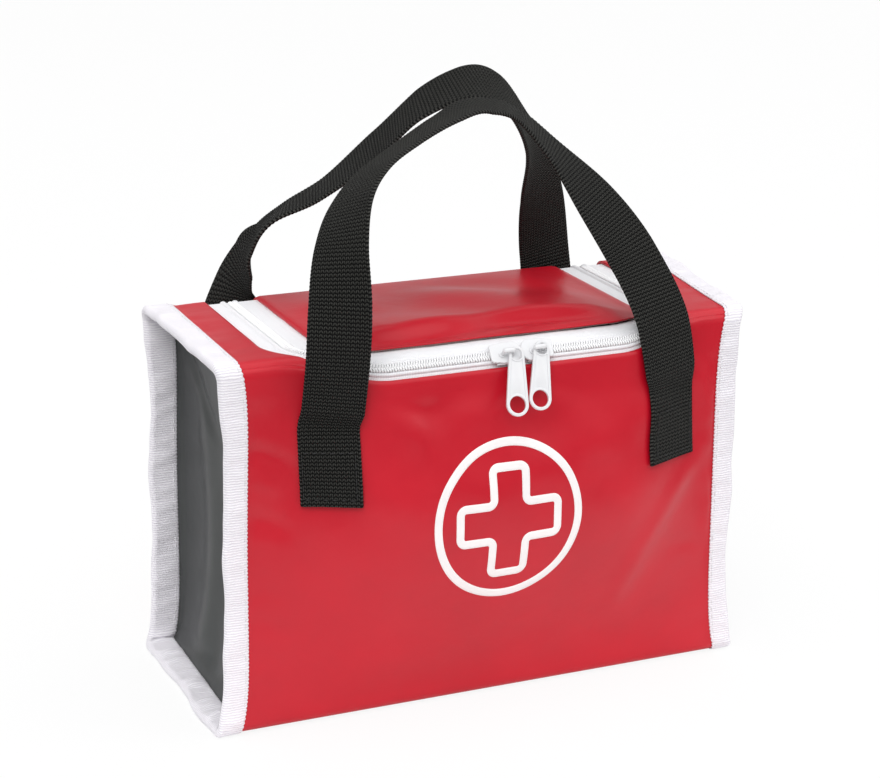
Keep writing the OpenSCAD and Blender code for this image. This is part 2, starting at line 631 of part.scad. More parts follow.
front_panel();
back_panel();
base_panel();
top_left_strip();
top_right_strip();
left_side_panel();
right_side_panel();
left_binding();
right_binding();
base_board();
front_emblem();
front_handle_ends();
rear_handle_ends();
body_zip_tape();
body_zip_coil();
lid_panel();
lid_zip_tape();
lid_zip_coil();
left_slider();
left_pull();
right_slider();
right_pull();
front_handle();
rear_handle();
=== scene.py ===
import bpy
import bmesh
import math
import numpy as np
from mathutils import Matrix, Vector


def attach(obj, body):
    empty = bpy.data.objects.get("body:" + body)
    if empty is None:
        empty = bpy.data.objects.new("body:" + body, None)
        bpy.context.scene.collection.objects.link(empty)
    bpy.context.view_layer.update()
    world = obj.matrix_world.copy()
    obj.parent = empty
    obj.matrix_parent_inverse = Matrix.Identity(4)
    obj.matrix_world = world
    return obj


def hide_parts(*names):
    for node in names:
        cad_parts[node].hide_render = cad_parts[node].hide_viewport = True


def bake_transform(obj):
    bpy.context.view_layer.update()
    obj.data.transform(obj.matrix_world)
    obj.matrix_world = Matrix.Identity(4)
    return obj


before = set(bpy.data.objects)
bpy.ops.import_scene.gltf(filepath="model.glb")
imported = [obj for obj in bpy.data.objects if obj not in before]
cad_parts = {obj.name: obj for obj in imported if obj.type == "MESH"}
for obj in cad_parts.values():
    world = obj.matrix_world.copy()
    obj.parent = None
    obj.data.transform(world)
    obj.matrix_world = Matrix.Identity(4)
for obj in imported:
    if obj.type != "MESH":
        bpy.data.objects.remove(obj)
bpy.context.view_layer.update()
pi = math.pi
print("frame loaded")

# the case's form, in millimetres: one skin with x across and s along it

form = {
    "width": 200, "depth": 94, "height": 144, "sheet": 1.2,
    "frontBelly": 13, "backBelly": 9, "frontBrow": 12,
    "waist": 4, "leftLean": 4, "rightFlare": 12, "endDip": 7,
    "frontRadius": 12, "endRadius": 5, "backRadius": 6, "footRadius": 4, "lip": 0.55,
    "zipX": 3.5, "zipHalf": 76.5, "zipRadius": 16, "zipUp": 8.4,
    "lidBare": 11, "frontBare": 5, "legBare": 10,
    "straightHalf": 46, "browEnd": 87, "hem": 9,
    "lidRise": 5.2,                      # crown of the lid over the flat top
}
halfW, caseD, caseH = form["width"] / 2, form["depth"], form["height"]
halfD = caseD / 2
footZ = form["lip"] + form["footRadius"]
hingeY = halfD - form["backRadius"]
backArc = form["backRadius"] * pi / 2
zipX, zipHalf, zipRadius, zipUp = form["zipX"], form["zipHalf"], form["zipRadius"], form["zipUp"]
zipLeft, zipRight = zipX - zipHalf, zipX + zipHalf
runHalf = zipHalf - zipRadius
frontEdgeS = zipUp - form["frontBare"]


def smooth(v, a=0.0, b=1.0):  # 0 below a, 1 above b, with a soft start and end
    t = np.clip((v - a) / (b - a), 0, 1)
    return t * t * (3 - 2 * t)


def mix(a, b, t):
    return a + (b - a) * t


def ripple(v, seed, size):  # a fixed sum of four sines, between about -1 and 1
    t = np.asarray(v, float) / size
    return (np.sin(6.3 * t + seed) + 0.7 * np.sin(10.1 * t + 2.3 * seed)
            + 0.5 * np.sin(15.7 * t + 4.1 * seed) + 0.3 * np.sin(23.9 * t + 0.7 * seed)) / 2.2


# x of an end seam at depth share d and height share v: half the width, less a waist that is drawn in over
# the whole height and let go at top and foot, plus a lean (left) or a flare to the back (right) with the
# cube of the height
def endX(side, d, v):
    drawn = form["waist"] * (1 - np.abs(2 * v - 1) ** 6)
    v3 = np.clip(v, 0, 2) ** 3
    right = halfW - drawn + form["rightFlare"] * np.clip(d, 0, 2) ** 1.2 * v3
    return np.where(np.asarray(side) < 0, -(halfW - drawn - form["leftLean"] * v3), right)


# the bulge of a face: 1 in its middle and 0 at the seams, foot and top edge, a power curve across
# times a sine upwards
def belly(x, d, z, top):
    left, right = endX(-1, d, z / caseH), endX(1, d, z / caseH)
    u = np.clip((2 * x - left - right) / (right - left), -1, 1)
    w = np.maximum(0, np.sin(pi * np.clip((z - footZ) / (top - footZ), 0, 1)))
    return (1 - np.abs(u) ** 2.2) * w ** 1.5


# the overhang over the front: 1 along the straight stretch of the zip, then a squared cosine down to 0
def brow(x):
    d = np.abs(x - zipX) - form["straightHalf"]
    turn = np.clip(pi / 2 * d / (form["browEnd"] - form["straightHalf"]), 0, pi / 2)
    return np.cos(turn) ** 2


def topRadius(x):  # of the top front edge: the end radius turned into the front one by the brow
    return mix(form["endRadius"], form["frontRadius"], brow(x))


def frontY(x, z):  # half the depth, plus the bulge, plus a brow that grows with the squared sine of the height
    top = caseH - topRadius(x)
    v = np.clip((z - footZ) / (top - footZ), 0, 1)
    return -(halfD + form["frontBelly"] * belly(x, 0, z, top)
             + form["frontBrow"] * brow(x) * np.sin(pi / 2 * v) ** 2)


def edgeY(x):  # y of the front face where it begins to turn onto the top
    return -(halfD + form["frontBrow"] * brow(x))


def foldS(x):  # distance along the skin from the top front edge to the back edge
    r = topRadius(x)
    return r * pi / 2 + hingeY - edgeY(x) - r


# the lid's crown in words: beside the zip a flat lens with a low hump, then a steep rise to the crest, from
# which the lid falls off to the fold by a power of the way left; two small waves run over it, and all of it
# fades out towards the two side edges
def lidCrown(x, y):
    front = edgeY(x) + topRadius(x)
    start = front + 1 + 8 * np.clip(1 - ((x - 10) / 44.0) ** 2, 0, 1) + 1.2 * np.sin(x / 9.0)
    crest = start + 10
    rise = np.clip((y - front) / (crest - front), 0, 1)
    fall = np.clip((hingeY - y) / (hingeY - crest), 0, 1)
    peak = smooth(y, start, crest) * fall ** 0.75
    hump = 1.0 * np.exp(-((y - front - 4.0 - 2 * np.sin(x / 13.0)) / 4.5) ** 2) * smooth(y - front, -1, 3)
    hump = hump * (0.55 + 0.45 * np.sin(x / 24.0 - 0.4))
    side = smooth(np.abs(x - zipX), zipHalf - form["lidBare"] - 1, zipHalf - 36)
    small = 0.45 * np.sin(x / 7.5 + y / 12.0) * smooth(rise, 0.3, 1) * smooth(fall, 0, 0.5)
    long = 0.8 * np.sin(x / 19.0 + y / 9.0 + 1.0) * smooth(rise, 0.2, 0.9) * smooth(fall, 0, 0.6)
    return (form["lidRise"] * peak + hump + small + long) * side


# a point of the plain skin: up the front face, round the top edge, back over the flat top with the lid's
# crown on it, round the back edge and down the back; s is 0 where the front face ends
def skinPoint(x, s, crown=True):
    x, s = np.broadcast_arrays(np.asarray(x, float), np.asarray(s, float))
    r = topRadius(x)
    arc, fold = r * pi / 2, foldS(x)
    q = np.clip(s / r, 0, pi / 2)
    qb = np.clip((s - fold) / form["backRadius"], 0, pi / 2)
    yTop = edgeY(x) + r + (s - arc)
    zFront, zBack = caseH - r + s, caseH - form["backRadius"] - (s - fold - backArc)
    where = [s < 0, s < arc, s < fold, s < fold + backArc]
    backY = halfD + form["backBelly"] * belly(x, 1, zBack, caseH - form["backRadius"])
    zTop = caseH + (lidCrown(x, yTop) if crown else 0 * yTop)
    y = np.select(where, [frontY(x, zFront), edgeY(x) + r - r * np.cos(q), yTop,
                          hingeY + form["backRadius"] * np.sin(qb)], backY)
    z = np.select(where, [zFront, caseH - r + r * np.sin(q), zTop,
                          caseH - form["backRadius"] * (1 - np.cos(qb))], zBack)
    return np.stack([x, y, z], -1)


# soft creases of the front and back: from (x, z) to (x, z), then width and height in mm; the puckers are
# gathers beside the end seams and below the zip
sheetFolds = {
    "front": [
        (50, 32, 92, 90, 5.0, 1.1), (58, 30, 80, 58, 9.0, -0.8),
        (-56, 141, -24, 120, 6.5, -1.6), (-50, 131, -34, 112, 5.0, 1.1), (-40, 137, -20, 126, 3.5, -0.8),
        (-99, 113, -78, 103, 3.0, -0.8), (-98, 88, -80, 78, 3.2, -0.7), (-97, 100, -84, 96, 2.5, 0.45),
        (20, 132, 60, 117, 8.0, -0.9), (34, 124, 66, 104, 7.0, 0.6), (8, 122, 30, 118, 6.0, 0.4),
        (84, 128, 93, 92, 4.5, 1.3), (88, 84, 95, 52, 4.0, 0.9), (76, 52, 99, 44, 3.0, -0.5),
        (-70, 70, -30, 58, 10.0, 0.6), (-96, 46, -80, 38, 3.0, -0.5), (-97, 26, -84, 20, 3.0, 0.5),
        (30, 20, 70, 10, 8.0, -0.5), (-60, 14, -10, 24, 9.0, 0.5),
    ],
    "back": [
        (-96, 110, -70, 96, 4.0, -0.8), (-60, 128, -10, 116, 8.0, -0.9), (20, 120, 70, 128, 8.0, 0.8),
        (60, 70, 100, 104, 6.0, 1.0), (-97, 62, -78, 54, 3.0, -0.6), (76, 40, 98, 34, 3.2, -0.6),
        (-50, 30, 10, 22, 9.0, 0.6), (-30, 80, 30, 66, 12.0, -0.6),
    ],
    "seamPucker": 0.42, "seamReach": 7.0,
    "zipPucker": 0.72, "zipReach": 7.0,
}


# the sum of the creases: each is a bell curve across a slightly bowed line, faded in and out at its ends
def creases(rows, x, z):
    total = np.zeros(np.broadcast(x, z).shape)
    for x0, z0, x1, z1, width, height in rows:
        length = math.hypot(x1 - x0, z1 - z0)
        ax, az = (x1 - x0) / length, (z1 - z0) / length
        along = ((x - x0) * ax + (z - z0) * az) / length
        off = (x - x0) * az - (z - z0) * ax + 0.08 * length * np.sin(pi * np.clip(along, 0, 1))
        ends = smooth(along, -0.15, 0.3) * smooth(along, 1.2, 0.7)
        total = total + height * np.exp(-(off / width) ** 2) * ends
    return total


def unrest(x, z):  # slack of the coated sheet: five long waves crossing each other
    return (np.sin(x / 6.2 + z / 9.0) * np.sin(z / 11.0 + x / 31.0) + 0.8 * np.sin(x / 10.5 - z / 7.0 + 1.0)
            + 0.7 * np.sin(x / 15.0 + z / 5.6 + 2.0) * np.sin(x / 9.0) + 0.5 * np.sin(z / 4.6 - x / 22.0))


# height of the folds over the skin: creases, slack that is greater in the upper part, puckers that die away
# from the end seams, and a ripple below the zip; all of it stops at the seams
def sheetWave(x, s):
    p = skinPoint(x, s)
    d, v = np.clip((p[..., 1] + halfD) / caseD, 0, 1), p[..., 2] / caseH
    fromLeft, fromRight = x - endX(-1, d, v), endX(1, d, v) - x
    z, belowFold = p[..., 2], s - foldS(x) - backArc
    front = np.where(s < 0, smooth(-s, 3, 14), 0)             # share of each face, faded at its top edge
    back = np.where(belowFold > 0, smooth(belowFold, 0, 12), 0)
    slack = 0.08 + 0.30 * smooth(z, 62, 112)
    inside = smooth(np.minimum(fromLeft, fromRight), 3, 16) * smooth(z, 4, 26)
    wave = creases(sheetFolds["front"], x, z) * front + creases(sheetFolds["back"], x, z) * back
    wave = wave + slack * inside * (unrest(x, z) * front + unrest(x + 40, z) * back)
    reach = sheetFolds["seamReach"]
    for gap, seed in ((fromLeft, 1.3), (fromRight, 4.4)):
        wave = wave + sheetFolds["seamPucker"] * (ripple(s, seed, 34.0) - 0.5) * np.exp(-np.abs(gap) / reach)
    nearZip = np.exp(-np.abs(s - frontEdgeS) / sheetFolds["zipReach"]) * smooth(-s, 2.5, 9)
    wave = wave + sheetFolds["zipPucker"] * ripple(x, 2.2, 42.0) * nearZip
    return wave * smooth(np.minimum(fromLeft, fromRight), -0.5, 2.0)


# a point n off the skin along its outward normal, with the folds added; the normal is the cross product of
# two short steps along the skin, taken at a place that is out further along x
def lifted(x, s, n, out=0.0, wave=True, crown=True):
    x, s = np.broadcast_arrays(np.asarray(x, float), np.asarray(s, float))
    h, c = 0.4, x + out
    e = np.cross(skinPoint(c + h, s, crown) - skinPoint(c - h, s, crown),
                 skinPoint(c, s + h, crown) - skinPoint(c, s - h, crown))
    e = e / np.linalg.norm(e, axis=-1, keepdims=True)
    rise = np.asarray(n, float) + (sheetWave(x, s) if wave else 0)
    return skinPoint(x, s, crown) + np.broadcast_to(rise, x.shape)[..., None] * e


def frontS(x, z):  # s of a height on the front face
    return z - caseH + topRadius(x)


def backS(x, z):  # s of a height on the back face
    return foldS(x) + backArc + caseH - form["backRadius"] - z


# the bound flange bends a little out of its plane: its shift along x and along the normal is a slow ripple
# round the seam, less a lean to the front, times the share of the way out e over 10 mm
def flangeBend(side, y, z, e):
    share = np.clip(np.asarray(e, float) / 10.0, 0, 1.1)
    w1 = ripple(z, 1.9 + side, 120.0) + 0.6 * ripple(y, 3.3 - side, 90.0)
    w2 = ripple(z, 0.6 * side + 2.0, 70.0) * 0.8 + 0.6 * ripple(y, 5.1, 60.0)
    lean = 0.4 - 0.8 * y / halfD
    return side * (w1 - lean) * share, w2 * share ** 1.5


# meshes from grids

# quads over a grid of points, with the map's corners; caps closes the first and last row with a fan
def gridPart(points, closeRows=False, closeCols=False, uv=None, flip=False, caps=False):
    m, n = points.shape[:2]
    i, j = np.meshgrid(np.arange(m if closeRows else m - 1),
                       np.arange(n if closeCols else n - 1), indexing="ij")
    i2, j2 = (i + 1) % m, (j + 1) % n
    quads = np.stack([i * n + j, i * n + j2, i2 * n + j2, i2 * n + j], -1).reshape(-1, 4)
    if uv is None:
        uv = np.zeros((i.shape[0] + 1, i.shape[1] + 1, 2))
    corners = np.stack([uv[i, j], uv[i, j + 1], uv[i + 1, j + 1], uv[i + 1, j]], -2).reshape(-1, 4, 2)
    pts = points.reshape(-1, 3)
    tris, triCorners = np.zeros((0, 3), int), np.zeros((0, 3, 2))
    if caps:
        k = np.arange(n)
        k2 = (k + 1) % n
        first, last = m * n, m * n + 1
        pts = np.vstack([pts, points[0].mean(0), points[-1].mean(0)])
        tris = np.vstack([np.stack([np.full(n, first), k2, k], -1),
                          np.stack([np.full(n, last), (m - 1) * n + k, (m - 1) * n + k2], -1)])
        triCorners = np.zeros((2 * n, 3, 2))
    if flip:
        quads, corners, tris, triCorners = quads[:, ::-1], corners[:, ::-1], tris[:, ::-1], triCorners[:, ::-1]
    return {"points": pts, "quads": quads, "corners": corners, "tris": tris, "triCorners": triCorners}


def makePiece(name, parts, materials, weld=False):
    points, faces, corners, base = [], [], [], 0
    for part in parts:
        points.append(part["points"])
        faces += (part["quads"] + base).tolist() + (part["tris"] + base).tolist()
        corners += [part["corners"].reshape(-1, 2), part["triCorners"].reshape(-1, 2)]
        base += len(part["points"])
    mesh = bpy.data.meshes.new(name)
    mesh.from_pydata((np.vstack(points) / 1000).tolist(), [], faces)
    mesh.uv_layers.new(name="weaveMap").data.foreach_set("uv", np.vstack(corners).ravel())
    for material in materials:
        mesh.materials.append(material)
    mesh.polygons.foreach_set("use_smooth", np.ones(len(faces), bool))
    if weld:
        work = bmesh.new()
        work.from_mesh(mesh)
        bmesh.ops.remove_doubles(work, verts=work.verts, dist=2e-5)
        work.to_mesh(mesh)
        work.free()
    mesh.update()
    piece = bpy.data.objects.new(name, mesh)
    bpy.context.scene.collection.objects.link(piece)
    return piece


# recalculates the normals; where a face is picked, all are turned if that one looks against outward
def faceOutwards(piece, pick=None, outward=(0, 0, 1)):
    work = bmesh.new()
    work.from_mesh(piece.data)
    bmesh.ops.recalc_face_normals(work, faces=work.faces)
    if pick and min(work.faces, key=pick).normal.dot(Vector(outward)) < 0:
        bmesh.ops.reverse_faces(work, faces=work.faces)
    work.to_mesh(piece.data)
    work.free()


def thicken(piece, thickness, inside=0):  # the wall grows inwards and shows its own material there
    wall = piece.modifiers.new("wall", "SOLIDIFY")
    wall.thickness, wall.offset, wall.use_even_offset = thickness / 1000, -1, True
    wall.material_offset = inside
    bpy.context.view_layer.objects.active = piece
    bpy.context.view_layer.update()
    done = bpy.data.meshes.new_from_object(piece.evaluated_get(bpy.context.evaluated_depsgraph_get()))
    piece.modifiers.clear()
    old, piece.data = piece.data, done
    bpy.data.meshes.remove(old)
    return piece


def place(piece, body, slot, *nodes):  # rides a body and stands for its solids
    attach(piece, body)
    if nodes:
        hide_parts(*nodes)
    return piece


# shader helpers

def srgb(r, g, b):  # screen values to linear ones
    return tuple((c / 255 / 12.92) if c <= 10 else ((c / 255 + 0.055) / 1.055) ** 2.4
                 for c in (r, g, b)) + (1.0,)


def put(tree, kind, inputs=None, **settings):  # a node with its inputs linked or set
    node = tree.nodes.new(kind)
    for key, value in settings.items():
        setattr(node, key, value)
    for key, value in (inputs or {}).items():
        if isinstance(value, bpy.types.NodeSocket):
            tree.links.new(value, node.inputs[key])
        else:
            node.inputs[key].default_value = value
    return node


def calc(tree, operation, a, b=0.0, c=0.0):
    return put(tree, "ShaderNodeMath", {0: a, 1: b, 2: c}, operation=operation).outputs[0]


def blendColor(tree, factor, a, b, mode="MIX"):
    node = put(tree, "ShaderNodeMix", {0: factor}, data_type="RGBA", blend_type=mode)
    for index, value in ((6, a), (7, b)):
        if isinstance(value, bpy.types.NodeSocket):
            tree.links.new(value, node.inputs[index])
        else:
            node.inputs[index].default_value = value
    return node.outputs[2]


def newGroup(name, inputs, outputs):
    tree = bpy.data.node_groups.new(name, "ShaderNodeTree")
    for label, kind, value in inputs:
        made = tree.interface.new_socket(label, in_out="INPUT", socket_type="NodeSocket" + kind)
        if value is not None:
            made.default_value = value
    for label, kind in outputs:
        tree.interface.new_socket(label, in_out="OUTPUT", socket_type="NodeSocket" + kind)
    return tree, tree.nodes.new("NodeGroupInput"), tree.nodes.new("NodeGroupOutput")


def useGroup(tree, group, **values):
    node = tree.nodes.new("ShaderNodeGroup")
    node.node_tree = group
    for key, value in values.items():
        if isinstance(value, bpy.types.NodeSocket):
            tree.links.new(value, node.inputs[key])
        else:
            node.inputs[key].default_value = value
    return node


def buildGrainGroup():  # fine moulded grain and slow tone changes from object coordinates
    tree, inp, out = newGroup("sheetGrain", [("Place", "Vector", None), ("Fine", "Float", 1500.0),
                                             ("Slow", "Float", 30.0)],
                              [("Height", "Float"), ("Tone", "Float")])
    fine = put(tree, "ShaderNodeTexNoise", {"Vector": inp.outputs["Place"], "Scale": inp.outputs["Fine"],
                                            "Detail": 3.0, "Roughness": 0.6})
    slow = put(tree, "ShaderNodeTexNoise", {"Vector": inp.outputs["Place"], "Scale": inp.outputs["Slow"],
                                            "Detail": 4.0, "Roughness": 0.55})
    tree.links.new(fine.outputs["Fac"], out.inputs["Height"])
    tree.links.new(slow.outputs["Fac"], out.inputs["Tone"])
    return tree


# the second output is 1 in the grooves between the ribs, where the white cloths paint shade
def buildRibGroup():  # woven ribbon: ribs across, warp threads along, from a map in millimetres
    tree, inp, out = newGroup("ribbonRibs", [("Map", "Vector", None), ("Pitch", "Float", 1.1),
                                             ("Thread", "Float", 0.55)],
                              [("Height", "Float"), ("GrooveShade", "Float")])
    split = put(tree, "ShaderNodeSeparateXYZ", {0: inp.outputs["Map"]})
    noise = put(tree, "ShaderNodeTexNoise", {"Vector": inp.outputs["Map"], "Scale": 0.35, "Detail": 3.0})
    wander = calc(tree, "MULTIPLY", noise.outputs["Fac"], 0.9)
    u = calc(tree, "ADD", split.outputs[0], wander)
    rib = calc(tree, "SINE", calc(tree, "MULTIPLY", calc(tree, "DIVIDE", u, inp.outputs["Pitch"]), 2 * pi))
    thread = calc(tree, "SINE", calc(tree, "MULTIPLY",
                                     calc(tree, "DIVIDE", split.outputs[1], inp.outputs["Thread"]), 2 * pi))
    rib01 = calc(tree, "MULTIPLY_ADD", rib, 0.5, 0.5)
    weave = calc(tree, "MULTIPLY_ADD", calc(tree, "MULTIPLY", rib, thread), 0.25, rib01)
    tree.links.new(weave, out.inputs["Height"])
    tree.links.new(calc(tree, "POWER", calc(tree, "SUBTRACT", 1.0, rib01), 2.0), out.inputs["GrooveShade"])
    return tree


def buildChevronGroup():  # webbing: columns of slanted floats that meet in V rows
    tree, inp, out = newGroup("webbingChevrons", [("Map", "Vector", None), ("Column", "Float", 2.1),
                                                  ("Row", "Float", 1.35), ("Slant", "Float", 0.55)],
                              [("Height", "Float"), ("GrooveShade", "Float")])
    split = put(tree, "ShaderNodeSeparateXYZ", {0: inp.outputs["Map"]})
    noise = put(tree, "ShaderNodeTexNoise", {"Vector": inp.outputs["Map"], "Scale": 0.8, "Detail": 2.0})
    v = calc(tree, "DIVIDE", split.outputs[1], inp.outputs["Column"])
    zig = calc(tree, "PINGPONG", v, 0.5)                      # 0 to 0.5 and back over a column
    u = calc(tree, "DIVIDE", split.outputs[0], inp.outputs["Row"])
    steep = calc(tree, "MULTIPLY", inp.outputs["Slant"], 2.0)
    shifted = calc(tree, "ADD", calc(tree, "MULTIPLY_ADD", zig, steep, u),
                   calc(tree, "MULTIPLY", noise.outputs["Fac"], 0.25))
    wave = calc(tree, "ABSOLUTE", calc(tree, "SINE", calc(tree, "MULTIPLY", shifted, pi)))
    valley = calc(tree, "ABSOLUTE", calc(tree, "SINE", calc(tree, "MULTIPLY", v, 2 * pi)))
    height = calc(tree, "MULTIPLY", calc(tree, "POWER", wave, 1.4), calc(tree, "POWER", valley, 0.7))
    tree.links.new(height, out.inputs["Height"])
    # the groove mask: 1 between the floats, where the webbing paints shade
    groove = put(tree, "ShaderNodeMapRange", {"Value": height, "From Min": 0.62, "From Max": 0.22},
                 interpolation_type="SMOOTHSTEP")
    tree.links.new(groove.outputs[0], out.inputs["GrooveShade"])
    return tree


grainGroup, ribGroup, chevronGroup = buildGrainGroup(), buildRibGroup(), buildChevronGroup()


def startMaterial(name, roughness):
    material = bpy.data.materials.new(name)
    material.use_nodes = True
    tree = material.node_tree
    shader = tree.nodes["Principled BSDF"]
    shader.inputs["Roughness"].default_value = roughness
    return material, tree, shader


def addBump(tree, shader, height, distance, strength=1.0, normal=None):
    inputs = {"Height": height, "Distance": distance, "Strength": strength}
    if normal is not None:
        inputs["Normal"] = normal
    bump = put(tree, "ShaderNodeBump", inputs)
    tree.links.new(bump.outputs[0], shader.inputs["Normal"])
    return bump.outputs[0]


# coated sheet: satin film with a fine grain, slightly uneven in tone and gloss
coatedFinish = {"red": srgb(193, 14, 36), "grey": srgb(60, 62, 62), "redRoughness": 0.34, "greyRoughness": 0.4,
                "redGloss": 0.4, "greyGloss": 0.42, "tone": 0.10, "grain": 0.00004, "waves": 0.0010}


def coatedSheet(name, color, roughness, gloss):
    material, tree, shader = startMaterial(name, roughness)
    shader.inputs["Specular IOR Level"].default_value = gloss
    where = put(tree, "ShaderNodeTexCoord").outputs["Object"]
    grain = useGroup(tree, grainGroup, Place=where, Fine=1500.0, Slow=28.0)
    tone = coatedFinish["tone"]
    darker = tuple(c * (1 - 2 * tone) for c in color[:3]) + (1.0,)
    lighter = tuple(min(1, c * (1 + tone)) for c in color[:3]) + (1.0,)
    tree.links.new(blendColor(tree, grain.outputs["Tone"], darker, lighter), shader.inputs["Base Color"])
    rough = put(tree, "ShaderNodeMapRange", {"Value": grain.outputs["Tone"], "From Min": 0.3, "From Max": 0.7,
                                             "To Min": roughness - 0.04, "To Max": roughness + 0.05})
    tree.links.new(rough.outputs[0], shader.inputs["Roughness"])
    slow = addBump(tree, shader, grain.outputs["Tone"], coatedFinish["waves"], 0.6)
    addBump(tree, shader, grain.outputs["Height"], coatedFinish["grain"], 0.6, slow)
    return material


redSheet = coatedSheet("redCoatedSheet", coatedFinish["red"], coatedFinish["redRoughness"], coatedFinish["redGloss"])
greySheet = coatedSheet("greyCoatedSheet", coatedFinish["grey"], coatedFinish["greyRoughness"],
                        coatedFinish["greyGloss"])


# woven backing on the inner side of the coated sheets
def wovenBacking():
    material, tree, shader = startMaterial("wovenBacking", 0.9)
    where = put(tree, "ShaderNodeTexCoord").outputs["Object"]
    waves = [put(tree, "ShaderNodeTexWave", {"Vector": where, "Scale": 300.0}, bands_direction=d).outputs["Fac"]
             for d in ("X", "Z")]
    weave = calc(tree, "MULTIPLY", waves[0], waves[1])
    tree.links.new(blendColor(tree, weave, srgb(176, 172, 168), srgb(214, 211, 207)), shader.inputs["Base Color"])
    addBump(tree, shader, weave, 0.0001)
    return material


backing = wovenBacking()
# shade is the painted shade in the grooves between the ribs, for the ribbon and the zip tape
ribbonFinish = {"color": srgb(243, 241, 245), "shade": srgb(219, 214, 224), "pitch": 0.98, "thread": 0.55,
                "depth": 0.00016}
tapeFinish = {"color": srgb(240, 240, 242), "shade": srgb(224, 224, 229), "pitch": 0.62, "thread": 0.8,
              "depth": 0.00007}


def wovenWhite(name, finish):
    material, tree, shader = startMaterial(name, 0.75)
    shader.inputs["Sheen Weight"].default_value = 0.15
    flat = put(tree, "ShaderNodeUVMap", uv_map="weaveMap").outputs[0]
    ribs = useGroup(tree, ribGroup, Map=flat, Pitch=finish["pitch"], Thread=finish["thread"])
    # the grooves between the ribs take the shade colour: painted shade
    tree.links.new(blendColor(tree, ribs.outputs["GrooveShade"], finish["color"], finish["shade"]),
                   shader.inputs["Base Color"])
    addBump(tree, shader, ribs.outputs["Height"], finish["depth"], 0.9)
    return material


ribbonCloth = wovenWhite("ribbonCloth", ribbonFinish)
tapeCloth = wovenWhite("zipTapeCloth", tapeFinish)


# a smooth solid whose colour lies between two, by a slow or the fine noise, with the fine one as its grain
def grainedSolid(name, roughness, dark, light, fine, slow, depth, strength=1.0, by="Tone"):
    material, tree, shader = startMaterial(name, roughness)
    where = put(tree, "ShaderNodeTexCoord").outputs["Object"]
    grain = useGroup(tree, grainGroup, Place=where, Fine=fine, Slow=slow)
    tree.links.new(blendColor(tree, grain.outputs[by], dark, light), shader.inputs["Base Color"])
    addBump(tree, shader, grain.outputs["Height"], depth, strength)
    return material


coilNylon = grainedSolid("coilNylon", 0.32, srgb(238, 238, 240), srgb(249, 249, 250), 900.0, 60.0, 0.00002)
signFilm = grainedSolid("whitePrintFilm", 0.38, srgb(232, 228, 228), srgb(248, 244, 243), 1500.0, 90.0, 0.00003, 0.5)


# enamel on the die-cast slider parts, with a slow change of tone, greyer where the surface turns at edges and
# corners
def paintedMetal():
    material, tree, shader = startMaterial("whiteEnamel", 0.3)
    shader.inputs["Coat Weight"].default_value = 0.4
    shader.inputs["Coat Roughness"].default_value = 0.12
    where = put(tree, "ShaderNodeTexCoord").outputs["Object"]
    grain = useGroup(tree, grainGroup, Place=where, Fine=700.0, Slow=160.0)
    edge = put(tree, "ShaderNodeBevel", {"Radius": 0.0003}, samples=4)
    geo = put(tree, "ShaderNodeNewGeometry")
    bend = put(tree, "ShaderNodeVectorMath", {0: edge.outputs[0], 1: geo.outputs["Normal"]}, operation="DOT_PRODUCT")
    # up to 0.35 of a grey is mixed in where the surface turns at edges and corners
    edgeGrey = put(tree, "ShaderNodeMapRange", {"Value": bend.outputs["Value"], "From Min": 0.97, "From Max": 0.8})
    paint = blendColor(tree, grain.outputs["Tone"], srgb(214, 215, 218), srgb(226, 226, 228))
    tree.links.new(blendColor(tree, calc(tree, "MULTIPLY", edgeGrey.outputs[0], 0.35), paint, srgb(190, 191, 195)),
                   shader.inputs["Base Color"])
    addBump(tree, shader, grain.outputs["Height"], 0.00003, 0.5)
    return material


enamel = paintedMetal()
# gap is the painted shade between the floats, nearly black; thread is the floats' own colour
webbingFinish = {"thread": srgb(66, 66, 63), "gap": srgb(5, 5, 5), "column": 1.75, "row": 1.44, "slant": 0.55}


def blackWebbing():
    material, tree, shader = startMaterial("blackWebbing", 0.7)
    shader.inputs["Specular IOR Level"].default_value = 0.14
    flat = put(tree, "ShaderNodeUVMap", uv_map="weaveMap").outputs[0]
    weave = useGroup(tree, chevronGroup, Map=flat, Column=webbingFinish["column"], Row=webbingFinish["row"],
                     Slant=webbingFinish["slant"])
    fuzz = put(tree, "ShaderNodeTexNoise", {"Vector": flat, "Scale": 5.0, "Detail": 2.0})
    # the floats take the thread colour and the grooves between them the painted shade
    tree.links.new(blendColor(tree, weave.outputs["GrooveShade"], webbingFinish["thread"], webbingFinish["gap"]),
                   shader.inputs["Base Color"])
    rough = put(tree, "ShaderNodeMapRange", {"Value": fuzz.outputs["Fac"], "To Min": 0.55, "To Max": 0.85})
    tree.links.new(rough.outputs[0], shader.inputs["Roughness"])
    height = calc(tree, "MULTIPLY_ADD", fuzz.outputs["Fac"], 0.25, weave.outputs["Height"])
    addBump(tree, shader, height, 0.0009, 1.0)
    return material


webbing = blackWebbing()


def plainThread(name, color):
    material, tree, shader = startMaterial(name, 0.6)
    where = put(tree, "ShaderNodeTexCoord").outputs["Object"]
    twist = put(tree, "ShaderNodeTexWave", {"Vector": where, "Scale": 900.0, "Distortion": 2.0},
                bands_direction="DIAGONAL")
    shade = tuple(c * 0.75 for c in color[:3]) + (1.0,)
    tree.links.new(blendColor(tree, twist.outputs["Fac"], shade, color), shader.inputs["Base Color"])
    addBump(tree, shader, twist.outputs["Fac"], 0.00005)
    return material


whiteThread = plainThread("whiteThread", srgb(236, 236, 238))
blackThread = plainThread("blackThread", srgb(26, 26, 27))


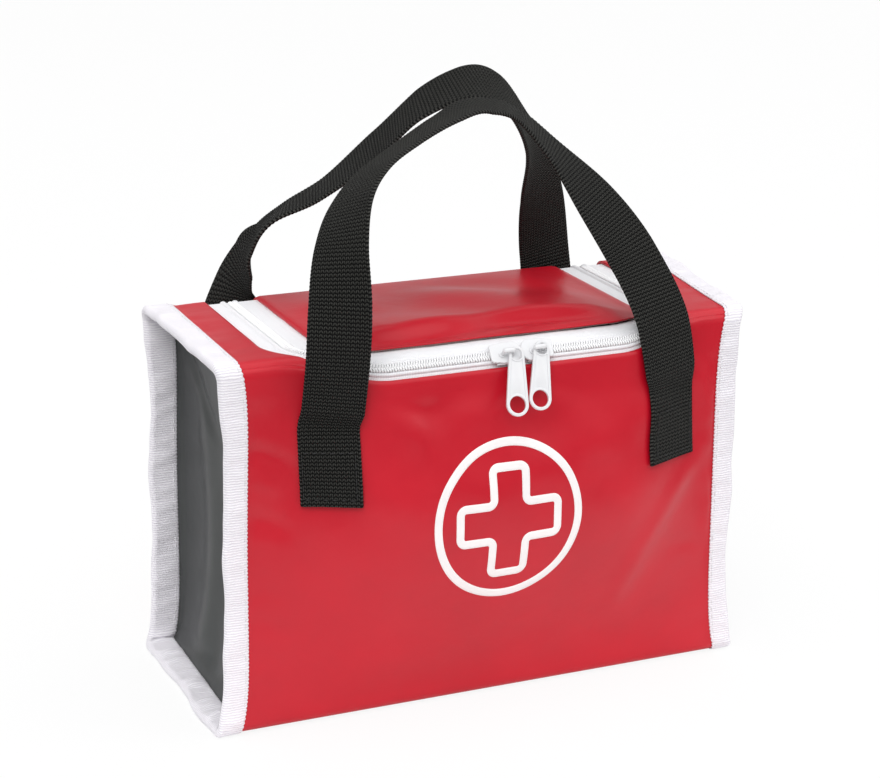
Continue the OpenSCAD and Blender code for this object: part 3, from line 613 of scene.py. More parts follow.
greyBoard = grainedSolid("greyBoard", 0.85, srgb(146, 138, 126), srgb(176, 168, 156), 600.0, 70.0, 0.0001,
                         by="Height")
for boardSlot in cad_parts["base_board"].material_slots:
    boardSlot.material = greyBoard
print("materials done")

# the red wrap: base, front, the strips beside the zip and the back, one sheet

wrapGrid = {"side": 22, "middle": 62, "tape": 10, "frontRows": 74, "baseRows": 44, "backRows": 70,
            "turn": 14, "stripRows": 44, "arcRows": 8, "hemSteps": 5, "hemNormalOut": 3.0}


def columnsAcross(breaks, counts):  # runs of evenly spaced columns between the break lines
    cells = [mix(breaks[k], breaks[k + 1], i / counts[k]) for k in range(len(counts)) for i in range(counts[k])]
    return np.stack(cells + [breaks[-1]], -1)


hemE = form["hem"] * np.arange(1, wrapGrid["hemSteps"] + 1) / wrapGrid["hemSteps"]


def hemBeyond(side, x, s):  # the seam allowance beyond one seam of a grid: the flat skin, bent as the flange
    edge = slice(0, 1) if side < 0 else slice(-1, None)
    reach = hemE[::-1] if side < 0 else hemE
    xs, ss = np.broadcast_arrays(x[:, edge] + side * reach, s[:, edge])
    flat = lifted(xs, ss, 0.0, wrapGrid["hemNormalOut"] * side, False)
    dx, dn = flangeBend(side, flat[..., 1], flat[..., 2], reach[None, :])
    hem = lifted(xs, ss, dn, wrapGrid["hemNormalOut"] * side, False)
    hem[..., 0] += dx
    return hem


def buildWrap():
    g = wrapGrid
    n, m = g["side"], g["middle"]

    def acrossFront(z):
        left, right = endX(-1, 0, z / caseH), endX(1, 0, z / caseH)
        one = np.ones_like(left)
        return columnsAcross([left, (zipX - runHalf) * one, (zipX + runHalf) * one, right], [n, m, n])

    def acrossBack(z):
        left, right = endX(-1, 1, z / caseH), endX(1, 1, z / caseH)
        one = np.ones_like(left)
        legs = [zipLeft - form["legBare"], zipLeft + form["lidBare"],
                zipRight - form["lidBare"], zipRight + form["legBare"]]
        tape = g["tape"]
        return columnsAcross([left] + [v * one for v in legs] + [right], [n, tape, m - 2 * tape, tape, n])

    # front: the height runs from the foot to the edge that is sewn on the tape
    v = np.linspace(0, 1, g["frontRows"] + 1)
    x = acrossFront(mix(footZ, caseH - form["frontRadius"] / 2, v))
    s = mix(frontS(x, footZ), frontEdgeS, v[:, None])
    rows = np.concatenate([hemBeyond(-1, x, s), lifted(x, s, 0.0), hemBeyond(1, x, s)], 1)
    # base: round the front foot, flat, round the back foot; its middle drops onto the ground
    quarter = np.linspace(0, pi / 2, 6)
    r = form["footRadius"]
    pathY = np.concatenate([-halfD + r - r * np.cos(quarter[1:]),
                            np.linspace(-halfD + r, halfD - r, g["baseRows"])[1:-1],
                            halfD - r + r * np.sin(quarter[:-1])])
    pathZ = np.concatenate([footZ - r * np.sin(quarter[1:]), np.full(g["baseRows"] - 2, form["lip"]),
                            footZ - r * np.cos(quarter[:-1])])
    xFront, xBack = acrossFront(np.array([footZ]))[0], acrossBack(np.array([footZ]))[0]
    share = ((pathY + halfD) / caseD)[:, None]
    xBase = mix(xFront[None, :], xBack[None, :], share)
    xAll = np.concatenate([xBase[:, :1] - hemE[::-1], xBase, xBase[:, -1:] + hemE], 1)
    yAll, zAll = np.repeat(pathY[:, None], xAll.shape[1], 1), np.repeat(pathZ[:, None], xAll.shape[1], 1)
    inner = smooth(np.minimum(xAll - xBase[:, :1], xBase[:, -1:] - xAll), 0.5, 6.0)
    flat = smooth(halfD - r - np.abs(yAll), 0, 6)
    zAll = zAll - form["lip"] * inner * flat
    over = np.clip(np.maximum(xBase[:, :1] - xAll, xAll - xBase[:, -1:]), 0, None)
    dx = flangeBend(np.where(xAll < 0, -1, 1), yAll, zAll, over)[0]
    base = np.stack([xAll + dx, yAll, np.maximum(zAll, 0.0)], -1)
    # back: from the fold down to the foot; the middle starts below the lid's share of the fold
    v = np.linspace(0, 1, g["backRows"] + 1)
    xb = acrossBack(mix(caseH - form["backRadius"], footZ, v))
    sb = mix(foldS(xb) + backArc, backS(xb, footZ), v[:, None])
    back = np.concatenate([hemBeyond(-1, xb, sb), lifted(xb, sb, 0.0), hemBeyond(1, xb, sb)], 1)
    parts = [gridPart(rows), gridPart(np.concatenate([rows[:1], base, back[-1:]], 0), flip=True), gridPart(back)]
    # the strips of the top, from the seam to the rounded corner and leg of the zip opening, over the back edge
    for side in (-1, 1):
        zx = zipLeft if side < 0 else zipRight
        a = np.linspace(0, pi / 2, g["turn"] + 1)
        x0 = np.concatenate([zx - side * (zipRadius - (zipRadius + form["legBare"]) * np.sin(a)),
                             np.full(g["stripRows"] + g["arcRows"], zx + side * form["legBare"])])
        s0 = np.concatenate([zipUp + zipRadius - (zipRadius + form["frontBare"]) * np.cos(a),
                             np.full(g["stripRows"], zipUp + zipRadius), np.zeros(g["arcRows"])])
        f = np.concatenate([np.zeros(len(a)), np.arange(1, g["stripRows"] + 1) / g["stripRows"],
                            np.ones(g["arcRows"])])
        arcShare = np.concatenate([np.zeros(len(a) + g["stripRows"]),
                                   np.arange(1, g["arcRows"] + 1) / g["arcRows"]])
        sSeam = mix(s0, foldS(np.float64(side * 120.0)), f)
        depth = np.clip((sSeam - form["endRadius"] * (pi / 2 - 1)) / caseD, 0, 1)
        edgeZ = caseH - form["backRadius"] * (1 - np.cos(arcShare * pi / 2))
        frontTop = np.clip(np.where(s0 < form["endRadius"] * pi / 2, s0, 99) / form["endRadius"], 0, pi / 2)
        topZ = np.where(f + arcShare == 0, caseH - form["endRadius"] * (1 - np.sin(frontTop)), edgeZ)
        xe = endX(side, np.where(arcShare > 0, 1.0, depth), topZ / caseH)
        t = np.linspace(0, 1, n + 1)[None, :]
        xs = mix(x0[:, None], xe[:, None], t)
        ss = mix(s0[:, None], foldS(xs), f[:, None]) + arcShare[:, None] * backArc
        if side < 0:
            xs, ss = xs[:, ::-1], ss[:, ::-1]
        strip = [lifted(xs, ss, 0.0), hemBeyond(side, xs, ss)]
        parts.append(gridPart(np.concatenate(strip[::side], 1)))
    wrap = makePiece("redWrap", parts, [redSheet, backing], weld=True)
    faceOutwards(wrap, lambda face: face.calc_center_median().z, (0, 0, -1))
    thicken(wrap, form["sheet"], 1)
    return place(wrap, "case_body", "red_sheet", "front_panel", "back_panel", "base_panel",
                 "top_left_strip", "top_right_strip")


buildWrap()
print("red wrap done")


lidGrid = {"turn": 9, "rows": 50, "arcRows": 12, "columns": 73, "rolled": 0.5}


# the lid's rows run from the rounded front corners to the fold and round the back edge; its front edge is
# drawn back a little in the middle, and its outermost line is rolled down onto the tape
def buildLid():
    g = lidGrid
    inner, after = zipRadius - form["lidBare"], g["rows"] + g["arcRows"]
    a = np.linspace(0, pi / 2, g["turn"])
    inset = zipRadius - inner * np.sin(a)
    xl = np.concatenate([zipLeft + inset, np.full(after, zipLeft + form["lidBare"])])
    xr = np.concatenate([zipRight - inset, np.full(after, zipRight - form["lidBare"])])
    s0 = np.concatenate([zipUp + zipRadius - inner * np.cos(a), np.full(after, zipUp + zipRadius)])
    f = np.concatenate([np.zeros(g["turn"]), np.arange(1, g["rows"] + 1) / g["rows"], np.ones(g["arcRows"])])
    arcShare = np.concatenate([np.zeros(g["turn"] + g["rows"]), np.arange(1, g["arcRows"] + 1) / g["arcRows"]])
    t = np.linspace(0, 1, g["columns"])[None, :]
    xs = mix(xl[:, None], xr[:, None], t)
    ss = mix(s0[:, None], foldS(xs), f[:, None]) + arcShare[:, None] * backArc
    drawn = 0.9 * np.exp(-((xs - 7) / 16.0) ** 2) - 0.5 * np.exp(-((xs + 30) / 14.0) ** 2)
    ss = ss + drawn * np.exp(-((ss - frontEdgeS - 10) / 6.0) ** 2) * (f < 1)[:, None]
    column = np.arange(g["columns"])
    outermost = (np.arange(len(f)) == 0)[:, None] | (column == 0) | (column == column[-1])
    rolled = np.where(outermost & (arcShare < 1)[:, None], -g["rolled"], 0.0)
    lid = makePiece("lidSheet", [gridPart(lifted(xs, ss, rolled))], [redSheet, backing])
    thicken(lid, form["sheet"], 1)
    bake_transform(lid)
    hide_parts("lid_panel")


buildLid()
print("lid done")

# the end seams: a rounded rectangle in y and z

def cornerArc(y, z, r, start):
    a = np.radians(np.linspace(start, start - 90, 40))
    return np.stack([y + r * np.cos(a), z + r * np.sin(a), np.cos(a), np.sin(a)], -1)


def seamRing():  # the four corner arcs joined up, and the distance round them
    er, br, fr, lip = form["endRadius"], form["backRadius"], form["footRadius"], form["lip"]
    path = np.concatenate([cornerArc(-halfD + er, caseH - er, er, 180), cornerArc(halfD - br, caseH - br, br, 90),
                           cornerArc(halfD - fr, lip + fr, fr, 0), cornerArc(-halfD + fr, lip + fr, fr, -90)])
    path = np.vstack([path, path[:1]])
    dist = np.concatenate([[0], np.cumsum(np.hypot(*np.diff(path[:, :2], axis=0).T))])
    return path, dist


ringPath, ringDist = seamRing()


def ringAt(p):  # point and outward direction at distance p round the seam
    cols = [np.interp(np.mod(p, ringDist[-1]), ringDist, ringPath[:, k]) for k in range(4)]
    size = np.hypot(cols[2], cols[3])
    return cols[0], cols[1], cols[2] / size, cols[3] / size


def flangePoint(side, p, e, n):  # e past the seam along x, n outwards, both bent with the flange
    y, z, ny, nz = ringAt(p)
    dx, dn = flangeBend(side, y, z, e)
    x = endX(side, (y + halfD) / caseD, z / caseH) + side * e + dx
    out = n + dn
    return np.stack(np.broadcast_arrays(x, y + out * ny, z + out * nz), -1)


play = 0.05                                          # between sheets that lie on each other
endPanel = {"rings": 26, "around": 280, "turnRadius": 1.6, "hemRows": (3.2, 5.2, 7.1)}


# rings from the middle to the seam: the seam's outline shrunk by a share f, dished by a parabola each way and
# with the folds below; at the seam the sheet turns outwards in a quarter round and runs along the flange
def buildEndPanel(side, name, node):
    sheet = form["sheet"]
    depthN = -2 * sheet - play
    p = np.linspace(0, ringDist[-1], endPanel["around"], endpoint=False)
    y, z, ny, nz = ringAt(p)
    midZ = caseH / 2
    f = np.linspace(0.02, 1, endPanel["rings"])[:, None]
    yy, zz = (y + depthN * ny) * f, midZ + (z + depthN * nz - midZ) * f
    dip = form["endDip"] * (1 - (2 * yy / caseD) ** 2) * (1 - (zz / midZ - 1) ** 2)
    # soft folds that run down the panel, and a slack dent at the top and at the foot
    folds = (-2.0 * np.exp(-((yy - 19 + 4 * np.sin(zz / 31.0)) / 7.5) ** 2) * smooth(zz, 125, 95)
             + 1.9 * np.exp(-((yy + 3 - 4 * np.sin(zz / 38.0 + 1)) / 8.0) ** 2)
             - 1.5 * np.exp(-((yy + 27 + 3 * np.sin(zz / 17.0)) / 6.5) ** 2) * smooth(zz, 18, 50)
             + 1.5 * np.exp(-(((yy - 26) - 0.9 * (zz - 118)) / 5.0) ** 2) * smooth(zz, 92, 112)
             - 1.2 * np.exp(-(((yy + 22) + 0.5 * (zz - 30)) / 6.0) ** 2) * smooth(zz, 50, 26))
    folds = folds * smooth(f, 1.0, 0.8)
    x = endX(side, yy / caseD + 0.5, zz / caseH) - side * (dip + folds)
    face = np.stack([x, yy, zz], -1)
    turn = np.linspace(0, pi / 2, 5)[1:]
    r = endPanel["turnRadius"]
    rows = [flangePoint(side, p, r * (1 - np.cos(t)), depthN - r * (1 - np.sin(t))) for t in turn]
    pull = smooth(f, 0.9, 1.0)[..., None]
    target = flangePoint(side, p, 0.0 * p, depthN - r)
    inner = face + (target - face[-1])[None] * pull
    hemRows = [flangePoint(side, p, e, depthN) for e in endPanel["hemRows"] + (form["hem"],)]
    surface = np.stack(list(inner) + rows + hemRows)
    part = gridPart(surface, closeCols=True, flip=side > 0)
    k = np.arange(endPanel["around"])
    centre = len(part["points"])
    part["points"] = np.vstack([part["points"], surface[0].mean(0)])
    fan = np.stack([np.full(len(k), centre), (k + 1) % len(k), k], -1)
    fan = fan if side < 0 else fan[:, ::-1]
    part["tris"], part["triCorners"] = fan, np.zeros((len(k), 3, 2))
    panel = makePiece(name, [part], [greySheet, backing])
    middle = Vector((0, 0, midZ / 1000))
    faceOutwards(panel, lambda face: sum(abs(v) for v in (face.calc_center_median() - middle).yz), (side, 0, 0))
    thicken(panel, sheet, 1)
    return place(panel, "case_body", "grey_sheet", node)


buildEndPanel(-1, "leftEndPanel", "left_side_panel")
buildEndPanel(1, "rightEndPanel", "right_side_panel")
print("end panels done")

ribbonForm = {"thickness": 0.5, "scallop": 1.6, "scallopDepth": 0.22, "step": 0.4, "puff": 0.5,
              "stitchAt": 1.7, "stitchPitch": 3.1, "stitchLength": 2.3, "stitchRadius": 0.2}


# little stitches: a round section that swells by a sine power from its two ends, one at each point
def capsules(points, along, across, up, length, radius):
    m = n = 6
    t = np.linspace(0, pi, m)
    a = np.linspace(0, 2 * pi, n, endpoint=False)
    ring = np.stack(np.meshgrid(t, a, indexing="ij"), -1)
    u, w = -np.cos(ring[..., 0]) * length / 2, np.maximum(np.sin(ring[..., 0]) ** 0.6, 0.12) * radius
    v, h = w * np.cos(ring[..., 1]), w * np.sin(ring[..., 1])
    cloud = (points[:, None, None] + u[None, ..., None] * along[:, None, None]
             + v[None, ..., None] * across[:, None, None] + h[None, ..., None] * up[:, None, None])
    one = gridPart(cloud[0], closeCols=True, caps=True)
    count, size = len(points), m * n + 2
    caps = np.stack([cloud[:, 0].mean(1), cloud[:, -1].mean(1)], 1)
    pts = np.concatenate([cloud.reshape(count, -1, 3), caps], 1).reshape(-1, 3)
    shift = (np.arange(count) * size)[:, None, None]
    quads, tris = (one["quads"][None] + shift).reshape(-1, 4), (one["tris"][None] + shift).reshape(-1, 3)
    return {"points": pts, "quads": quads, "corners": np.zeros((len(quads), 4, 2)), "tris": tris,
            "triCorners": np.zeros((len(tris), 3, 2))}


def unit(v):
    return v / np.linalg.norm(v, axis=-1, keepdims=True)


# the ribbon's section is a folded band round the flange, e along it and n off it, outside and then inside;
# it is swept round the end seam with a scalloped inner edge, slow puffs and gathers at the foot corners
def buildRibbon(side, name, node):
    g = ribbonForm
    sheet, t = form["sheet"], g["thickness"]
    nIn = -2 * (sheet + play)
    count = int(ringDist[-1] / g["step"])
    p = np.arange(count) * ringDist[-1] / count
    q = np.linspace(0, pi, 8)
    centre = nIn / 2
    outerE = np.concatenate([[0.3, 0.45], [1.2, 3, 5, 7, 8.4], 9 + 1.5 * np.sin(q), [8.4, 7, 5, 3, 1.2, 0.45, 0.3]])
    outerN = np.concatenate([[play + 0.1, play + t - 0.08], [play + t] * 5, centre + (play + t - centre) * np.cos(q),
                             [nIn - t] * 5, [nIn - t + 0.08, nIn - 0.1]])
    q2 = q[::-1]
    innerE = np.concatenate([[0.7, 3, 6, 8.2], 8.6 + 1.3 * np.sin(q2), [8.2, 6, 3, 0.7]])
    innerN = np.concatenate([[nIn] * 4, centre + (play - centre) * np.cos(q2), [play] * 4])
    e = np.concatenate([outerE, innerE])[None, :]
    n = np.concatenate([outerN, innerN])[None, :]
    isOuter = (np.arange(e.shape[1]) < len(outerE))[None, :]
    pp = p[:, None]
    scallop = g["scallopDepth"] * np.sin(2 * pi * pp / g["scallop"] + 2.5 * ripple(pp, 1.0, 60.0))
    nearEdge = np.clip(1 - (e - 0.3) / 1.5, 0, 1) * isOuter
    bulge = np.clip(ripple(pp, 2.6 + side, 26.0) + 0.3 * ripple(pp + 3 * e, 0.4, 11.0), -0.4, 1.2) + 0.4
    _, z, _, nz = ringAt(pp)
    nearFoot = np.exp(-(np.minimum(z, 30) / 12.0) ** 2)       # the ribbon is gathered at the foot corners
    gather = 1 + 1.2 * nearFoot * (0.5 + 0.5 * ripple(pp, 7.0, 9.0))
    lift = g["puff"] * bulge * gather * np.sin(np.clip((e - 0.3) / 9.5, 0, 1) * pi) ** 0.7 * isOuter
    n2 = n + np.where(n > centre, lift * np.where(nz < -0.3, 0.0, 1.0), -1.6 * lift)   # flat under the case
    e2 = e - scallop * nearEdge + 0.35 * ripple(pp, 5.5, 48.0) * np.clip(e / 10, 0, 1) * isOuter
    pts = flangePoint(side, pp, e2, n2)
    length = np.concatenate([[0], np.cumsum(np.hypot(np.diff(outerE), np.diff(outerN)))])
    vMap = np.concatenate([length, np.full(len(innerE) + 1, length[-1])])
    uv = np.stack(np.meshgrid(np.append(p, ringDist[-1]), vMap, indexing="ij"), -1)
    pts[..., 2] = np.maximum(pts[..., 2], 0.0)
    part = gridPart(pts, closeRows=True, closeCols=True, uv=uv, flip=side < 0)
    ribbon = makePiece(name, [part], [ribbonCloth])
    place(ribbon, "case_body", "white_ribbon", node)
    # two rows of stitches, outside and inside the flange
    sp = np.arange(0, ringDist[-1] - 2, g["stitchPitch"])
    se = np.full_like(sp, g["stitchAt"])
    rows = []
    for nn, sign in ((play + t + 0.12, 1), (nIn - t - 0.12, -1)):
        here = flangePoint(side, sp, se, nn)
        along = unit(flangePoint(side, sp + 0.3, se, nn) - here)
        up = unit(flangePoint(side, sp, se, nn + 1.0) - here) * sign
        keep = here[:, 2] > 0.9                                # none under the case
        rows.append(capsules(here[keep], along[keep], np.cross(along, up)[keep], up[keep],
                             g["stitchLength"], g["stitchRadius"]))
    place(makePiece(name + "Stitches", rows, [whiteThread]), "case_body", "white_ribbon")


buildRibbon(-1, "leftRibbon", "left_binding")
buildRibbon(1, "rightRibbon", "right_binding")
print("ribbons done")

# zip

zipForm = {"overFold": 6.0, "tapeEdge": 0.55, "tapeWidth": 12.8, "tapeThickness": 0.6, "tapeTop": -1.45,
           "cordAt": 2.45, "cordHeight": 0.75, "cordEnd": 4.4,
           "coilCentre": 0.8, "coilReach": 0.6944, "coilMiddle": 0.798, "coilHeight": 0.378, "wire": 0.4,
           "pitch": 1.02, "coilShort": 3.5, "turnPoints": 12}
legLength = float(foldS(np.float64(zipLeft))) - zipUp - zipRadius
turnLength = zipRadius * pi / 2


# a point by the zip: t along it from its middle, d towards the lid, n outwards; it runs straight, round a
# quarter circle and back along a leg, on the plain skin without the crown
def chainPoint(t, d, n):
    t, d, n = np.broadcast_arrays(np.asarray(t, float), np.asarray(d, float), np.asarray(n, float))
    side, a = np.where(t < 0, -1.0, 1.0), np.abs(t)
    zx = np.where(side < 0, zipLeft, zipRight)
    q = np.clip((a - runHalf) / zipRadius, 0, pi / 2)
    onRun = a <= runHalf
    x = np.where(onRun, zipX + t, zx - side * (zipRadius - (zipRadius - d) * np.sin(q)))
    s = np.where(onRun, zipUp + d, zipUp + zipRadius - (zipRadius - d) * np.cos(q)
                 + np.maximum(0, a - runHalf - turnLength))
    return lifted(x, s, n, 0.0, False, False)


# a flat band with a half-round cord and a crease beside the coil, and a slight wave on its bare part
def buildTape(sign, name, body, node):
    g = zipForm
    end = runHalf + turnLength + legLength + backArc + g["overFold"]
    t = np.linspace(-end, end, int(2 * end) + 1)[:, None]
    offs = np.concatenate([np.linspace(g["tapeEdge"], g["cordEnd"], 15),
                           np.linspace(g["cordEnd"] + 1, g["tapeWidth"], 8)])
    d = sign * offs[None, ::-sign]
    cord = (g["cordHeight"] * np.sqrt(np.clip(1 - (np.abs(d) - g["cordAt"]) ** 2, 0, 1))
            - 0.2 * np.exp(-((np.abs(d) - g["cordAt"] - 1.15) / 0.3) ** 2))
    wave = 0.10 * ripple(t, 3.0, 30.0) * smooth(np.abs(d), 4, 8)
    top = chainPoint(t, d, g["tapeTop"] + cord + np.minimum(wave, 0.12))
    low = chainPoint(t, d, g["tapeTop"] - g["tapeThickness"])
    loop = np.concatenate([top, low[:, ::-1]], 1)
    uv = np.stack(np.meshgrid(t[:, 0], np.concatenate([offs, offs[::-1], offs[:1]]), indexing="ij"), -1)
    tape = makePiece(name, [gridPart(loop, closeCols=True, uv=uv, caps=True)], [tapeCloth])
    if body == "lid":
        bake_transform(tape)
        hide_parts(node)
    else:
        place(tape, body, "white_tape", node)


# a wound wire: an ellipse across the zip that moves on by one pitch a turn; the two coils are half a pitch apart
def buildCoil(sign, name, body, node):
    g = zipForm
    end = runHalf + turnLength + legLength - g["coilShort"]
    k = np.arange(int(2 * end / g["pitch"]) * g["turnPoints"] + 1)
    angle = 2 * pi * k / g["turnPoints"]
    t = -end + g["pitch"] * k / g["turnPoints"] + (g["pitch"] / 2 if sign > 0 else 0)
    d = sign * (g["coilCentre"] - g["coilReach"] * np.cos(angle))
    n = g["tapeTop"] + g["coilMiddle"] + g["coilHeight"] * np.sin(angle)
    line = chainPoint(t, d, n)
    ahead = unit(np.gradient(line, axis=0))
    up = unit(chainPoint(t, d, n + 1) - line)
    across = unit(np.cross(ahead, up))
    up = np.cross(across, ahead)
    a = np.linspace(0, 2 * pi, 5, endpoint=False)
    round2 = np.cos(a)[None, :, None] * across[:, None] + np.sin(a)[None, :, None] * up[:, None]
    coil = makePiece(name, [gridPart(line[:, None] + g["wire"] * round2, closeCols=True, caps=True)], [coilNylon])
    faceOutwards(coil)
    place(coil, body, "white_coil", node)


buildTape(-1, "bodyTape", "case_body", "body_zip_tape")
buildTape(1, "lidTape", "lid", "lid_zip_tape")
buildCoil(-1, "bodyCoil", "case_body", "body_zip_coil")
buildCoil(1, "lidCoil", "lid", "lid_zip_coil")
print("zip done")

# sliders and pulls, in the frame of the zip's front run

sliderForm = {"length": 12, "leftX": 2.0, "rightX": 14.4, "halfWidth": 4.2, "plate": 1.0,
              "topPlate": 0.4, "lowPlate": -4.24, "headLength": 3.2, "postX": 1.9, "postRadius": 0.6,
              "bailY": -0.7, "bailN": 4.85, "ringY": -1.9, "ringN": 3.05}
runAngle = zipUp / form["frontRadius"]
runAt = skinPoint(np.float64(zipX), np.float64(zipUp))


# places a point given by x along the zip, y up the rounded edge and z outwards from it
def onRun(points, x):
    tilt = pi / 2 - runAngle
    c, s = math.cos(tilt), math.sin(tilt)
    p = np.asarray(points, float)
    return np.stack([p[..., 0] + x, runAt[1] + c * p[..., 1] - s * p[..., 2],
                     runAt[2] + s * p[..., 1] + c * p[..., 2]], -1)


def flatShape(outlines, extrude, bevel):  # a flat plate filled between closed outlines, with rounded edges
    curve = bpy.data.curves.new("plateLine", "CURVE")
    curve.dimensions, curve.fill_mode = "2D", "BOTH"
    curve.extrude, curve.bevel_depth, curve.bevel_resolution = extrude, bevel, 2
    for outline in outlines:
        spline = curve.splines.new("POLY")
        spline.points.add(len(outline) - 1)
        spline.points.foreach_set("co", np.hstack([outline, np.zeros((len(outline), 1)),
                                                   np.ones((len(outline), 1))]).ravel())
        spline.use_cyclic_u = True
    shape = bpy.data.objects.new("plateShape", curve)
    bpy.context.scene.collection.objects.link(shape)
    bpy.context.view_layer.update()
    mesh = bpy.data.meshes.new_from_object(shape.evaluated_get(bpy.context.evaluated_depsgraph_get()))
    points = np.empty(len(mesh.vertices) * 3)
    mesh.vertices.foreach_get("co", points)
    faces = [list(p.vertices) for p in mesh.polygons]
    bpy.data.objects.remove(shape)
    bpy.data.curves.remove(curve)
    bpy.data.meshes.remove(mesh)
    return points.reshape(-1, 3), faces


def circleLine(x, y, r, count=40):
    a = np.linspace(0, 2 * pi, count, endpoint=False)
    return np.stack([x + r * np.cos(a), y + r * np.sin(a)], -1)


# a slider's plate: half an ellipse for the head, then sides that draw in to a straight tail with small corners
def plateLine(length, half, head):
    a = np.linspace(-pi / 2, pi / 2, 18)
    headLength = sliderForm["headLength"]
    nose = np.stack([length / 2 - headLength + headLength * np.cos(a), half * np.sin(a)], -1)
    upper = np.array([[4.5, -0.15], [2.5, -0.6], [0.5, -0.75], [0, -1.3]]) + np.array([-length / 2, half])
    tail = np.vstack([upper, upper[::-1] * np.array([1.0, -1.0])])
    return np.vstack([nose, tail]) * np.array([head, 1.0])


def tubeAlong(line, radius, count, squash):  # rings of an ellipse round a line that lies across the y axis
    ahead = unit(np.gradient(line, axis=0))
    side = np.broadcast_to(np.array([0.0, 1.0, 0.0]), line.shape)
    up = unit(np.cross(ahead, side))
    side = np.cross(up, ahead)
    a = np.linspace(0, 2 * pi, count, endpoint=False)[None, :, None]
    r = np.broadcast_to(np.asarray(radius, float), line.shape[:1])[:, None, None]
    return line[:, None] + r * (squash * np.cos(a) * side[:, None] + np.sin(a) * up[:, None])


# one piece from several point and face lists, sharp where faces meet at more than smoothAngle
def addShapes(name, shapes, place3, material, smoothAngle=0.6):
    points, faces, base = [], [], 0
    for pts, fcs in shapes:
        points.append(pts)
        faces += [[i + base for i in f] for f in fcs]
        base += len(pts)
    mesh = bpy.data.meshes.new(name)
    mesh.from_pydata((place3(np.vstack(points)) / 1000).tolist(), [], faces)
    mesh.materials.append(material)
    mesh.uv_layers.new(name="weaveMap")
    work = bmesh.new()
    work.from_mesh(mesh)
    bmesh.ops.remove_doubles(work, verts=work.verts, dist=1e-6)
    bmesh.ops.recalc_face_normals(work, faces=work.faces)
    work.to_mesh(mesh)
    work.free()
    mesh.polygons.foreach_set("use_smooth", np.ones(len(mesh.polygons), bool))
    mesh.set_sharp_from_angle(angle=smoothAngle)
    mesh.update()
    piece = bpy.data.objects.new(name, mesh)
    bpy.context.scene.collection.objects.link(piece)
    return piece


def asShape(part):
    return part["points"], part["quads"].tolist() + part["tris"].tolist()


# two plates with a core between them at the head, rims along both sides and a bail over the top one, which
# is domed by a parabola each way
def buildSlider(x, head, name, body, node):
    g = sliderForm
    half, length, middle = g["halfWidth"], g["length"], g["plate"] / 2
    pts, faces = flatShape([plateLine(length, half - 0.25, head)], middle - 0.28, 0.28)
    pts[:, 2] += 0.22 * (1 - (2 * pts[:, 0] / length) ** 2) * (1 - (pts[:, 1] / half) ** 2) * (pts[:, 2] > 0)
    shapes = [(pts + np.array([0, 0, g["topPlate"] + middle]), faces)]
    pts, faces = flatShape([plateLine(length, half - 0.2, head)], middle - 0.2, 0.2)
    shapes.append((pts + np.array([0, 0, g["lowPlate"] + middle]), faces))
    for s in (-1, 1):
        rim = np.stack([np.linspace(2 - length / 2, length / 2 - 3, 12), np.full(12, s * (half - 0.45)),
                        np.full(12, -0.25)], -1)
        shapes.append(asShape(gridPart(tubeAlong(rim, 0.55, 10, 0.8), closeCols=True, caps=True)))
    core = np.stack([np.full(9, head * (length / 2 - 2.6)), np.zeros(9),
                     np.linspace(g["lowPlate"] + 0.5, g["topPlate"] + 0.5, 9)], -1)
    a = np.linspace(0, 2 * pi, 14, endpoint=False)
    column = core[:, None] + np.stack([1.5 * np.cos(a), 0.24 * np.sin(a), 0 * a], -1)[None]
    shapes.append(asShape(gridPart(column, closeCols=True, caps=True)))
    # bail: two legs that rise from the plate and a bar bowed over them
    post, top = g["postX"], g["topPlate"] + g["plate"]
    t = np.linspace(0, 1, 33)
    arch = np.stack([post * np.sign(t - 0.5) * np.minimum(1, np.abs(t - 0.5) / 0.2) ** 0.45, 0 * t + g["bailY"],
                     top - 0.5 + (g["bailN"] - top + 0.5) * np.sin(pi * t) ** 0.42], -1)
    radius = g["postRadius"] + 0.25 * np.sin(pi * t) ** 2
    shapes.append(asShape(gridPart(tubeAlong(arch, radius, 14, 1.15), closeCols=True, caps=True)))
    for s in (-1, 1):  # small shoulders where the legs meet the plate
        pts, faces = flatShape([circleLine(s * post, g["bailY"], 1.15, 24)], 0.12, 0.15)
        shapes.append((pts + np.array([0, 0, top + 0.15]), faces))
    place(addShapes(name, shapes, lambda p: onRun(p, x), enamel), body, "white_paint", node)


pullForm = {"length": 26, "width": 8.7, "hole": 6.4, "eye": 4.6, "neck": 5.9, "fall": 16.1,
            "tongue": 0.22, "rim": 0.4}
holeDrop = pullForm["length"] - pullForm["neck"] / 2 - pullForm["width"] / 2   # from the eye to the hole


def pullLine(inset):  # two arcs joined by their common tangents
    g, drop = pullForm, holeDrop
    neck, wide = g["neck"] / 2 - inset, g["width"] / 2 - inset
    b = math.asin((wide - neck) / drop)
    a1, a2 = np.linspace(b, pi - b, 24), np.linspace(pi - b, 2 * pi + b, 44)
    return np.vstack([neck * np.stack([np.cos(a1), np.sin(a1)], -1),
                      wide * np.stack([np.cos(a2), np.sin(a2)], -1) - np.array([0, drop])])


